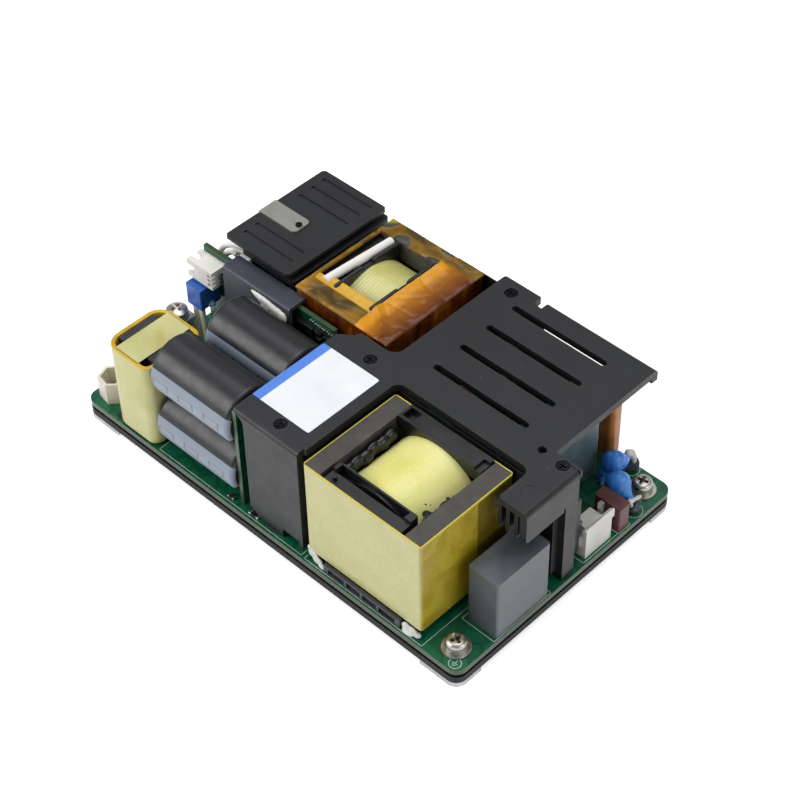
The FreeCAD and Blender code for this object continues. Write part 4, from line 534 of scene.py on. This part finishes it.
def pick(piece, test, kind="FACE"):
    """Enters edit mode with the faces, edges or points that pass the test selected.

    A face is tested by its middle and normal, an edge by its middle and direction, and a
    point by its place.
    """
    only(piece)
    bpy.ops.object.mode_set(mode="EDIT")
    bpy.ops.mesh.select_mode(type=kind)
    bpy.ops.mesh.select_all(action="DESELECT")
    bpy.ops.object.mode_set(mode="OBJECT")
    mesh = piece.data
    if kind == "FACE":
        for face in mesh.polygons:
            face.select = test(face.center / MM, face.normal)
    elif kind == "EDGE":
        for edge in mesh.edges:
            a, b = (mesh.vertices[i].co for i in edge.vertices)
            edge.select = test((a + b) / 2 / MM, (b - a).normalized())
    else:
        for point in mesh.vertices:
            point.select = test(point.co / MM)
    bpy.ops.object.mode_set(mode="EDIT")


def rounded(piece, radius, segments, test):
    """Bevels the edges that pass the test."""
    pick(piece, test, "EDGE")
    bpy.ops.mesh.bevel(offset=radius * MM, segments=segments, affect="EDGES", clamp_overlap=True)
    bpy.ops.object.mode_set(mode="OBJECT")


def moved(piece, test, step):
    """Moves the points that pass the test."""
    pick(piece, test, "VERT")
    bpy.ops.transform.translate(value=[v * MM for v in step])
    bpy.ops.object.mode_set(mode="OBJECT")


def pulled(piece, test, *steps):
    """Extrudes the faces that pass the test, once for each step."""
    pick(piece, test)
    for step in steps:
        bpy.ops.mesh.extrude_region_move(
            TRANSFORM_OT_translate={"value": tuple(v * MM for v in step)})
    bpy.ops.object.mode_set(mode="OBJECT")


def opened(piece, test):
    """Takes away the faces that pass the test."""
    pick(piece, test)
    bpy.ops.mesh.delete(type="FACE")
    bpy.ops.object.mode_set(mode="OBJECT")


def ringed(piece, plane_normal, distance):
    """Draws an edge all round the piece where it crosses a plane, so that it can be shaped."""
    pick(piece, lambda c, n: True)
    bpy.ops.mesh.bisect(plane_co=[v * distance * MM for v in plane_normal], plane_no=plane_normal)
    bpy.ops.object.mode_set(mode="OBJECT")


def modify(piece, kind, **settings):
    only(piece)
    modifier = piece.modifiers.new(kind.lower(), kind)
    for key, value in settings.items():
        setattr(modifier, key, value)
    bpy.ops.object.modifier_apply(modifier=modifier.name)


def joined(pieces, name):
    bpy.ops.object.select_all(action="DESELECT")
    for piece in pieces:
        piece.select_set(True)
    bpy.context.view_layer.objects.active = pieces[0]
    bpy.ops.object.join()
    pieces[0].name = name
    return pieces[0]


def copied(piece, step, pivot, degrees):
    """A copy with its own mesh, turned about an upright line through the pivot and moved."""
    only(piece)
    bpy.ops.object.duplicate(linked=False)
    twin = bpy.context.active_object
    bpy.ops.object.mode_set(mode="EDIT")
    bpy.ops.mesh.select_all(action="SELECT")
    bpy.ops.transform.rotate(value=-math.radians(degrees), orient_axis="Z",
                             center_override=[v * MM for v in pivot])
    bpy.ops.transform.translate(value=[v * MM for v in step])
    bpy.ops.object.mode_set(mode="OBJECT")
    return twin


def two_finishes(piece, finishes, test):
    """Gives the faces that pass the test the second finish and all others the first."""
    for finish in finishes:
        piece.data.materials.append(finish)
    for face in piece.data.polygons:
        face.material_index = int(test(face))


def done(piece, finish, angle=35):
    """Merges, turns faces outward, smooths, and gives the piece its finish and body."""
    only(piece)
    bpy.ops.object.mode_set(mode="EDIT")
    bpy.ops.mesh.select_all(action="SELECT")
    bpy.ops.mesh.remove_doubles(threshold=1e-6)
    bpy.ops.mesh.normals_make_consistent(inside=False)
    bpy.ops.object.mode_set(mode="OBJECT")
    bpy.ops.object.shade_smooth_by_angle(angle=math.radians(angle))
    if not piece.data.materials:
        piece.data.materials.append(finish)
    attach(piece, "root")
    return piece


def run_together(name, drops, finish, voxel=0.22, rounds=5):
    """Glue, silicone or epoxy: rounded drops run together and smoothed into one skin."""
    balls = []
    for middle, size in drops:
        radii = [size] * 3 if isinstance(size, (int, float)) else size
        balls.append(begin("uv_sphere", "drop", middle, radii,
                           segments=20, ring_count=12, radius=MM))
    piece = joined(balls, name)
    modify(piece, "REMESH", mode="VOXEL", voxel_size=voxel * MM)
    modify(piece, "SMOOTH", factor=0.5, iterations=rounds)
    return done(piece, finish, 180)


def sleeved_lead(name, points):
    """A white sleeved lead along a smooth path."""
    sleeve_radius = 0.8
    bpy.ops.object.select_all(action="DESELECT")
    bpy.ops.curve.primitive_nurbs_path_add()
    piece = bpy.context.active_object
    piece.name = name
    curve = piece.data
    curve.splines.clear()
    line = curve.splines.new("NURBS")
    line.points.add(len(points) - 1)
    for spot, point in zip(line.points, points):
        spot.co = [v * MM for v in point] + [1.0]
    line.order_u = 3
    line.use_endpoint_u = True
    curve.bevel_depth = sleeve_radius * MM
    curve.bevel_resolution = 3
    curve.resolution_u = 8
    curve.use_fill_caps = True
    bpy.ops.object.convert(target="MESH")
    return done(piece, sleeve_white, 50)


# Tape, resin and silicone on the transformers

def creased_film():
    """Amber film over the rear transformer: up against the rods, creased, folded in front."""
    left, right, front, back, rest = -28.2, 2.4, 3.2, 37.4, 37.72
    film = begin("grid", "creased_amber_film", ((left + right) / 2, (front + back) / 2, rest),
                 (right - left, back - front, 1), size=MM, x_subdivisions=62, y_subdivisions=70)
    # The coil and the rods stand in its window
    opened(film, lambda c, n: -27.0 < c.x < -8.1 and 8.8 < c.y < 31.8)
    # Against the rods' right side the film climbs towards their tops
    for reach in (-7.6, -7.1, -6.6, -6.1, -5.6, -5.0, -4.4):
        moved(film, lambda p: -8.6 < p.x < reach and 9.0 < p.y < 33.5, (0, 0, 0.11))
    # A sharp fold across the front right corner
    start, end = Vector((-7.4, 10.4)), Vector((0.2, 4.6))
    along = (end - start).normalized()
    for width in (1.5, 1.15, 0.8, 0.45, 0.2):
        def in_fold(p):
            out = p.xy - start
            run = out.dot(along)
            side = abs(out.x * along.y - out.y * along.x)
            return -width < run < (end - start).length and side < width
        moved(film, in_fold, (0, 0, 0.17))
    # The right and front borders are drawn down over the corner
    moved(film, lambda p: p.x > 1.9, (0, 0, -0.1))
    moved(film, lambda p: p.x > 2.3 or p.y < 3.4, (0, 0, -0.3))
    waves = bpy.data.textures.new("film_waves", "CLOUDS")
    waves.noise_scale = 3.5 * MM
    creases = bpy.data.textures.new("film_creases", "VORONOI")
    creases.noise_scale = 6.0 * MM
    creases.weight_1, creases.weight_2 = -1.0, 1.0
    for texture, level, height in ((waves, 0.4, 0.4), (creases, 0.0, 0.2)):
        modify(film, "DISPLACE", texture=texture, texture_coords="LOCAL", direction="Z",
               mid_level=level, strength=height * MM)
    modify(film, "SOLIDIFY", thickness=FILM_THICKNESS * MM, offset=1.0)
    done(film, amber_tape, 40)


def film_flap():
    """Bright amber flap of film that leans over the front end of the rear coil."""
    flap = begin("grid", "amber_film_flap", (-17.4, 10.1, 37.75), (19.4, 3.0, 1), size=MM,
                 x_subdivisions=24, y_subdivisions=6)
    moved(flap, lambda p: p.y > 10.9 and p.x < -23.5, (0, -1.6, 0))
    for edge in (9.5, 10.2, 10.9):
        moved(flap, lambda p: p.y > edge, (0, 0, 0.13))
    modify(flap, "SOLIDIFY", thickness=FILM_THICKNESS * MM, offset=1.0)
    done(flap, flap_tape, 40)


creased_film()
film_flap()
run_together("left_potting_resin", [
    ((21.5, -28.4, 34.0), (1.3, 2.4, 2.0)), ((21.3, -25.9, 34.2), (1.2, 2.6, 2.0)),
    ((21.6, -23.2, 34.1), (1.5, 2.5, 2.0)), ((21.2, -20.4, 34.4), (1.2, 2.7, 2.0)),
    ((21.5, -17.6, 34.4), (1.4, 2.6, 2.0)), ((21.3, -14.9, 34.6), (1.3, 2.4, 2.0)),
    ((22.2, -24.0, 34.6), (1.2, 1.0, 1.0)), ((22.3, -28.6, 34.3), (1.2, 1.0, 1.2)),
], black_glue, 0.22, 14)
run_together("right_potting_resin", [
    ((45.7, -28.2, 34.6), (1.5, 1.7, 2.2)), ((44.6, -27.2, 35.5), (1.6, 1.1, 0.9)),
    ((45.9, -25.4, 34.8), (1.2, 1.8, 2.1)), ((45.6, -22.8, 34.9), (1.3, 1.8, 2.1)),
    ((45.9, -20.0, 35.0), (1.0, 1.9, 2.0)), ((46.0, -17.4, 35.0), (0.8, 1.6, 1.9)),
    ((44.6, -20.8, 35.6), (0.7, 0.6, 0.5)), ((42.4, -25.6, 36.1), (0.5, 0.3, 0.25)),
    ((43.1, -24.9, 35.9), (0.3, 0.3, 0.2)),
], black_glue)
run_together("front_silicone_left", [
    ((16.6, -36.4, 8.0), (1.7, 0.4, 1.3)), ((18.2, -36.6, 7.0), (1.7, 0.5, 1.2)),
    ((19.9, -36.8, 6.4), (1.3, 0.6, 0.6)), ((15.4, -36.3, 9.2), (0.8, 0.3, 1.0)),
], silicone_white, 0.16, 10)
run_together("front_silicone_right", [
    ((46.6, -36.6, 7.2), (1.5, 0.6, 1.3)), ((48.3, -36.5, 7.0), (1.6, 0.6, 1.2)),
    ((49.7, -36.3, 6.5), (1.1, 0.8, 0.7)), ((47.4, -37.1, 6.2), (1.8, 0.7, 0.4)),
], silicone_white, 0.16, 10)
run_together("bracket_silicone", [
    ((-36.4, -2.9, 34.6), (1.4, 0.35, 0.6)), ((-35.0, -3.0, 34.4), (1.8, 0.5, 0.9)),
    ((-33.2, -3.1, 34.1), (2.0, 0.7, 1.2)), ((-31.4, -3.2, 33.8), (2.1, 0.8, 1.4)),
    ((-29.6, -3.3, 33.5), (2.1, 0.9, 1.5)), ((-27.8, -3.4, 33.3), (2.0, 1.0, 1.7)),
    ((-26.2, -3.5, 33.0), (1.4, 1.0, 1.8)), ((-26.8, -3.7, 31.8), (1.4, 0.7, 1.1)),
    ((-31.6, -3.9, 33.0), (2.0, 0.5, 0.5)),
], silicone_white, 0.2, 12)


def pin_rail():
    """Grey frame of the front transformer's pin rail, with four windows over the board."""
    left, right, front, back, top = 20.9, 45.2, -37.5, -36.6, 8.7
    sill, lintel, post_half, window_depth = 6.4, 8.1, 0.45, 0.7
    posts = [left + v for v in (1.1, 7.0, 12.15, 17.3, 23.2)]
    rail = slab("front_pin_rail", (left, front, BOARD_TOP), (right, back, top))
    for post in posts:
        for side in (-post_half, post_half):
            ringed(rail, (1, 0, 0), post + side)
    for height in (sill, lintel):
        ringed(rail, (0, 0, 1), height)
    pulled(rail, lambda c, n: n.y < -0.5 and sill < c.z < lintel and posts[0] < c.x < posts[-1]
           and all(abs(c.x - post) > post_half for post in posts), (0, window_depth, 0))
    rounded(rail, 0.12, 2, lambda c, d: c.y < front + 0.1)
    done(rail, rail_grey)


pin_rail()


# Dipped disc capacitors and their absorbers

run_together("rear_disc_capacitor", [
    ((51.1, 30.3, 12.3), 1.5), ((51.1, 30.3, 12.3), (2.6, 2.6, 3.3)),
    ((51.6, 30.8, 12.5), (2.2, 2.2, 3.0)), ((50.5, 29.7, 12.3), (2.3, 2.3, 3.1)),
    ((52.0, 31.7, 12.2), (1.9, 1.9, 2.3)), ((52.1, 32.8, 12.0), (1.4, 1.4, 1.5)),
    ((52.1, 33.9, 11.8), (0.95, 1.1, 1.0)), ((52.1, 34.8, 11.6), (0.8, 0.9, 0.8)),
    ((49.7, 28.4, 9.6), (1.3, 1.3, 1.4)), ((49.4, 28.1, 8.0), (1.0, 1.0, 1.5)),
    ((49.4, 28.0, 6.6), (0.9, 0.9, 1.0)),
], blue_dip, 0.2, 8)
run_together("front_disc_capacitor", [
    ((56.1, 25.7, 12.3), 1.5), ((56.1, 25.7, 12.3), (2.6, 2.6, 3.4)),
    ((56.6, 26.2, 12.5), (2.3, 2.3, 3.0)), ((55.5, 25.1, 12.4), (2.3, 2.3, 3.1)),
    ((57.6, 26.0, 11.0), (1.9, 1.9, 2.3)), ((58.5, 26.1, 10.2), (1.3, 1.4, 1.6)),
    ((59.3, 26.1, 9.6), (0.95, 1.0, 1.1)), ((60.0, 26.0, 9.3), (0.8, 0.9, 0.8)),
    ((54.6, 24.2, 9.4), (0.9, 0.9, 1.4)), ((54.5, 24.1, 7.2), (0.6, 0.6, 1.6)),
], blue_dip, 0.2, 8)
for name, base, lean, heading in (("rear", (51.9, 36.1, 8.0), 62, 45),
                                  ("front", (60.9, 26.1, 7.9), 52, -45)):
    disc = begin("cylinder", name + "_slate_absorber", base, (2.0, 2.0, 1.5),
                 (("X", lean), ("Z", heading)), radius=MM, depth=MM, vertices=36)
    rounded(disc, 0.45, 4, lambda c, d: (c - Vector(base)).length > 1.9)
    done(disc, absorber_slate, 40)
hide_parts("disc_capacitors")
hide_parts("surge_absorber")
run_together("rear_absorber_glue", [
    ((51.9, 34.7, 12.6), (1.0, 1.0, 0.9)), ((52.2, 35.5, 12.0), (1.1, 1.0, 1.1)),
    ((52.5, 35.9, 10.8), (0.9, 0.9, 1.2)), ((52.8, 36.0, 9.6), (0.6, 0.7, 0.9)),
], silicone_white, 0.18)
run_together("front_absorber_glue", [
    ((60.6, 25.0, 9.6), (0.8, 0.7, 0.8)), ((60.9, 25.9, 9.7), (0.6, 0.8, 0.6)),
    ((61.1, 26.8, 9.7), (0.6, 0.9, 0.6)), ((61.3, 27.6, 9.8), (0.5, 0.6, 0.45)),
    ((61.2, 24.9, 8.6), (0.4, 0.4, 0.9)),
], silicone_white, 0.15)


# The tall choke's wrap

def choke_tape_wrap():
    """Tape with rounded corners, open above and below, amber inside and on its rim."""
    wrap = slab("tall_choke_wrap", (-52.5, -37.8, 6.6), (-37.0, -19.5, 31.9))
    rounded(wrap, 4.4, 8, lambda c, d: abs(d.z) > 0.9 and c.x < -45)
    rounded(wrap, 2.6, 6, lambda c, d: abs(d.z) > 0.9 and c.x > -37.5)
    opened(wrap, lambda c, n: abs(n.z) > 0.9)
    modify(wrap, "SOLIDIFY", thickness=1.15 * MM, offset=-1.0)
    rounded(wrap, 0.35, 3, lambda c, d: c.z > 31.8 and abs(d.z) < 0.1)
    middle = Vector((-44.75, -28.65))
    two_finishes(wrap, (choke_wrap, amber_edge), lambda face: face.center.z / MM > 31.6 or (
        abs(face.normal.z) < 0.9 and face.normal.xy.dot(middle - face.center.xy / MM) > 0))
    done(wrap, choke_wrap)
    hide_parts("choke_tape")


choke_tape_wrap()


# Small parts on the boards and the leads behind the upright one

def gull_leads(chip_x, chip_top, side):
    """Four bent tinned leads along one upright side of a chip."""
    pitch = 1.0
    leads = []
    for i in range(4):
        z = chip_top - pitch * (i + 0.5)
        lead = slab("lead", (chip_x - 0.45, 0.1, z - 0.2), (chip_x + 0.45, 0.25, z + 0.2))
        pulled(lead, lambda c, n: n.x * side > 0.9, (side * 0.35, 0.2, 0), (side * 0.35, 0.05, 0))
        leads.append(lead)
    return leads


def tinned_chip(low, high, end_share, bevel, on_top):
    """A chip resistor between two corners: dark body, tinned ends, eased upper edges."""
    part = slab("resistor", low, high)
    middle, reach = (low[0] + high[0]) / 2, (high[0] - low[0]) * end_share
    for edge in (middle - reach, middle + reach):
        ringed(part, (1, 0, 0), edge)
    rounded(part, bevel, 1, lambda c, d: on_top(c))
    two_finishes(part, (black_resin, solder),
                 lambda face: abs(face.center.x / MM - middle) > reach)
    return part


def control_board_parts():
    """The bent leads of the two chips, and ten chip resistors on the upright board."""
    leads = []
    for top in (31.7, 25.2):
        leads += gull_leads(-24.0, top, -1) + gull_leads(-19.0, top, 1)
    done(joined(leads, "chip_leads"), solder)
    places = [(-19.6, 33.5), (-17.9, 33.3), (-16.4, 33.2), (-14.9, 33.2), (-13.4, 32.9),
              (-17.8, 28.6), (-15.6, 28.2), (-13.6, 29.6), (-17.0, 26.9), (-14.2, 26.6)]
    front, back, half_width, half_height = 0.05, 0.52, 0.6, 0.325
    chips = [tinned_chip((x - half_width, front, z - half_height),
                         (x + half_width, back, z + half_height),
                         0.26, 0.05, lambda c: c.y < front + 0.01) for x, z in places]
    done(joined(chips, "chip_resistors"), solder)


def board_chips():
    """Four chip resistors that lie on the main board."""
    top = BOARD_TOP + 0.6
    chips = [tinned_chip((x - width / 2, y - depth / 2, BOARD_TOP),
                         (x + width / 2, y + depth / 2, top), 0.3, 0.06, lambda c: c.z > top - 0.1)
             for x, y, width, depth in ((-11.6, -36.1, 2.0, 1.25), (-3.4, -36.2, 3.2, 1.6),
                                        (49.6, 27.4, 1.6, 0.8), (53.0, 14.2, 2.0, 1.25))]
    done(joined(chips, "board_resistors"), solder)


control_board_parts()
sleeved_lead("rear_lead_long", [
    (-56.4, 3.6, 5.9), (-57.0, 3.6, 18), (-57.4, 4.0, 28), (-56.8, 4.8, 32.4), (-54.2, 6.2, 33.9),
    (-50.4, 7.4, 34.2), (-46.0, 8.4, 34.2), (-43.0, 9.0, 34.3),
])
sleeved_lead("rear_lead_short", [
    (-53.4, 3.0, 5.9), (-54.2, 3.0, 18), (-54.8, 3.0, 28), (-54.3, 3.3, 32.0), (-52.6, 4.4, 33.7),
    (-49.4, 5.8, 34.2), (-46.0, 7.0, 34.3), (-43.0, 7.6, 34.4),
])
legs = [sleeved_lead("sleeved_leg", [(-57.0, -5.1, 20.3), (-57.1, -5.1, 13.0), (-57.2, -5.1, 5.9)]),
        sleeved_lead("sleeved_leg", [(-54.9, -5.1, 20.3), (-54.6, -5.1, 13.0), (-53.5, -5.1, 5.9)])]
for leg in legs:
    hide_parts("sleeved_legs")
run_together("lead_silicone", [
    ((-43.6, 7.6, 34.3), (1.6, 1.2, 1.1)), ((-43.6, 9.0, 34.3), (1.6, 1.2, 1.1)),
], silicone_white)
pads = joined([slab("pad", (-48.2, 3.1, 34.6), (-44.8, 4.2, 35.9)),
               slab("pad", (-51.2, 3.1, 34.0), (-49.7, 4.0, 35.2))], "silicone_pads")
rounded(pads, 0.2, 2, lambda c, d: True)
done(pads, silicone_white)
run_together("blue_resin_bead", [
    ((-53.3, -3.4, 20.6), (0.9, 0.9, 0.8)), ((-52.8, -3.1, 20.9), (0.9, 0.8, 0.9)),
], drip_blue, 0.15)


# Black film inside: round the front transformer and behind the line choke, the rear sheet partly a
# painted shadow under the heatsink

def hung_film(name, sheets):
    """Black film that stands on the board, with its cut edges eased; the rear sheet is partly
    painted shade.
    """
    walls = []
    for (x0, y0), (x1, y1), top in sheets:
        wall = slab("wall", (x0, y0, BOARD_TOP), (x1, y1, top))
        rounded(wall, 0.06, 2, lambda c, d: c.z < BOARD_TOP + 0.01 or abs(d.z) > 0.9)
        walls.append(wall)
    done(joined(walls, name), film_black)


hung_film("transformer_barrier_film", [((13.4, -33.5), (13.6, -5.0), SINK_UNDERSIDE),
                                       ((13.4, -5.2), (53.0, -5.0), SINK_UNDERSIDE)])
# The rear black sheet stands partly for the dark seen through the heatsink's slots, painted shade
# under the heatsink
hung_film("rear_film_and_slot_shade", [((-6.5, 37.8), (21.5, 38.0), SINK_UNDERSIDE),
                                ((21.5, 37.8), (31.5, 38.0), 29.0)])


# White print on the board, without any lettering

def ink_line(start, end, width=0.16):
    (x0, y0), (x1, y1) = start, end
    bar = begin("plane", "ink", ((x0 + x1) / 2, (y0 + y1) / 2, BOARD_TOP),
                (abs(x1 - x0) + width, abs(y1 - y0) + width, 1), size=MM)
    pulled(bar, lambda c, n: True, (0, 0, 0.02))
    return bar


def ink_ring(middle, radius):
    return begin("torus", "ink", (*middle, BOARD_TOP + 0.01), (1, 1, 0.2),
                 major_radius=radius * MM, minor_radius=0.08 * MM,
                 major_segments=40, minor_segments=8)


def board_print():
    """Frames round components, rings round the absorbers and an earth mark in a ring."""
    frames = [(-36.3, -37.4, 13.4, -3.2), (14.6, -37.6, 52.2, -5.6), (53.4, -25.6, 63.2, -6.2),
              (55.2, 5.6, 62.9, 18.0), (54.0, 18.1, 63.1, 22.3)]
    absorbers = [(60.9, 26.1), (51.9, 36.1)]
    mark_x, mark_y = 60.9, -36.0
    ink = []
    for x0, y0, x1, y1 in frames:
        ink += [ink_line((x0, y0), (x1, y0)), ink_line((x0, y1), (x1, y1)),
                ink_line((x0, y0), (x0, y1)), ink_line((x1, y0), (x1, y1))]
    ink.append(ink_ring((mark_x, mark_y), 1.45))
    for width, y in ((1.5, mark_y), (1.0, mark_y - 0.4), (0.5, mark_y - 0.8)):
        ink.append(ink_line((mark_x - width / 2, y), (mark_x + width / 2, y), 0.12))
    ink.append(ink_line((mark_x, mark_y), (mark_x, mark_y + 0.9), 0.12))
    ink += [ink_ring(place, 2.3) for place in absorbers]
    done(joined(ink, "board_print"), board_ink)


board_print()
board_chips()


# Corner screws

def cross_head(middle, radius, height, arm, wide):
    """A pan head with a flared cross recess, cut by two bars that narrow downwards."""
    x, y, top = middle
    bottom, twist = top - height * 0.62, 20
    head = begin("cylinder", "screw", (x, y, top - height / 2), (radius, radius, height),
                 radius=MM, depth=MM, vertices=48)
    rounded(head, height * 0.55, 6, lambda c, d: abs(c.z - top) < 0.01
            and (c.xy - Vector((x, y))).length > radius * 0.8)
    for degrees in (0, 90):
        bar = slab("recess", (x - arm, y - wide / 2, bottom), (x + arm, y + wide / 2, top + 0.3))
        pick(bar, lambda c, n: n.z < -0.9)
        bpy.ops.transform.resize(value=(0.35, 0.45, 1),
                                 center_override=(x * MM, y * MM, bottom * MM))
        bpy.ops.mesh.select_all(action="SELECT")
        bpy.ops.transform.rotate(value=math.radians(degrees + twist), orient_axis="Z",
                                 center_override=(x * MM, y * MM, top * MM))
        bpy.ops.object.mode_set(mode="OBJECT")
        modify(head, "BOOLEAN", operation="DIFFERENCE", object=bar, solver="EXACT")
        bpy.data.objects.remove(bar, do_unlink=True)
    return head


def shank(x, y):
    radius, low, high = 1.2, 1.9, 7.2
    rod = begin("cylinder", "shank", (x, y, (low + high) / 2), (radius, radius, high - low),
                radius=MM, depth=MM, vertices=24)
    rounded(rod, 0.3, 1, lambda c, d: abs(c.z - low) < 0.01)
    return rod


def board_screw_set():
    """The four corner screws; the one in the guard has no spring washer and sits lower."""
    x, y, top, lower = 58.2, -32.6, 9.35, 0.3
    place = (x, y, top)
    first = cross_head(place, 2.55, 2.15, 1.75, 1.0)
    screws = [first, copied(first, (0, -2 * y, 0), place, 35),
              copied(first, (-2 * x, -2 * y, 0), place, 60),
              copied(first, (-2 * x, 0, -lower), place, 10)]
    screws += [shank(shank_x, shank_y) for shank_x in (-x, x) for shank_y in (y, -y)]
    done(joined(screws, "corner_screws"), zinc, 30)
    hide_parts("board_screws")


board_screw_set()


# Floor, light and camera

def paper_floor():
    """White paper sweep: white to the camera, with the object's soft shadow on it."""
    bpy.ops.object.select_all(action="DESELECT")
    bpy.ops.mesh.primitive_plane_add(size=6.0, location=(0, 0, 0))
    floor = bpy.context.active_object
    floor.name = "paper_floor"
    f = new_finish("white_paper")
    lit = add(f, "BsdfDiffuse", {"Color": (0.86, 0.86, 0.86, 1), "Roughness": 0.8})
    glow = add(f, "Emission", {"Color": "ffffff", "Strength": 0.6})
    none = add(f, "Emission", {"Strength": 0.0})
    path = add(f, "LightPath").outputs
    seen = add(f, "Math", {0: path["Is Camera Ray"], 1: path["Is Glossy Ray"]}, operation="ADD")
    through = add(f, "Math", {0: seen, 1: path["Is Transmission Ray"]},
                  operation="ADD", use_clamp=True)
    extra = add(f, "MixShader", {0: through, 1: none, 2: glow})
    add(f, "OutputMaterial", {"Surface": add(f, "AddShader", {0: lit, 1: extra})})
    floor.data.materials.append(f)


def studio_world():
    """A white room: fully white to the camera, dimmer as light and in reflections."""
    world = bpy.data.worlds.new("white_room")
    bpy.context.scene.world = world
    world.use_nodes = True
    world.node_tree.nodes.clear()
    room = add(world, "Background", {"Color": "ffffff", "Strength": 0.32})
    white = add(world, "Background", {"Color": "ffffff", "Strength": 1.0})
    seen = add(world, "LightPath").outputs["Is Camera Ray"]
    shown = add(world, "MixShader", {0: seen, 1: room, 2: white})
    add(world, "OutputWorld", {"Surface": shown})


def soft_light(name, place, size, power):
    """A rectangular lamp aimed at the object's middle; places in metres, power in watts."""
    lamp = bpy.data.lights.new(name, "AREA")
    lamp.shape = "RECTANGLE"
    lamp.size, lamp.size_y = size
    lamp.energy = power
    holder = bpy.data.objects.new(name, lamp)
    bpy.context.scene.collection.objects.link(holder)
    holder.location = place
    aim = Vector((0, 0, 0.02)) - Vector(place)
    holder.rotation_euler = aim.to_track_quat("-Z", "Y").to_euler()


def photo_camera():
    """The camera that was solved from the photograph."""
    lens = bpy.data.cameras.new("photo_camera")
    lens.lens = 92.525
    lens.sensor_width = 36.0
    lens.clip_start = 0.01
    lens.clip_end = 20.0
    camera = bpy.data.objects.new("photo_camera", lens)
    bpy.context.scene.collection.objects.link(camera)
    across = (0.72083, 0.69296, -0.01459)
    upward = (-0.48538, 0.51970, 0.70308)
    behind = (0.49479, -0.49972, 0.71096)
    turn = Matrix((across, upward, behind)).transposed().to_4x4()
    camera.matrix_world = Matrix.Translation((0.24942, -0.24200, 0.37141)) @ turn
    bpy.context.scene.camera = camera


paper_floor()
studio_world()
soft_light("left_softbox", (-0.55, -0.75, 0.55), (0.7, 0.6), 6.0)
soft_light("top_softbox", (-0.1, 0.15, 0.9), (0.8, 0.8), 4.6)
soft_light("right_fill", (0.75, 0.1, 0.4), (0.5, 0.5), 1.4)
photo_camera()

scene = bpy.context.scene
scene.view_settings.view_transform = "Standard"
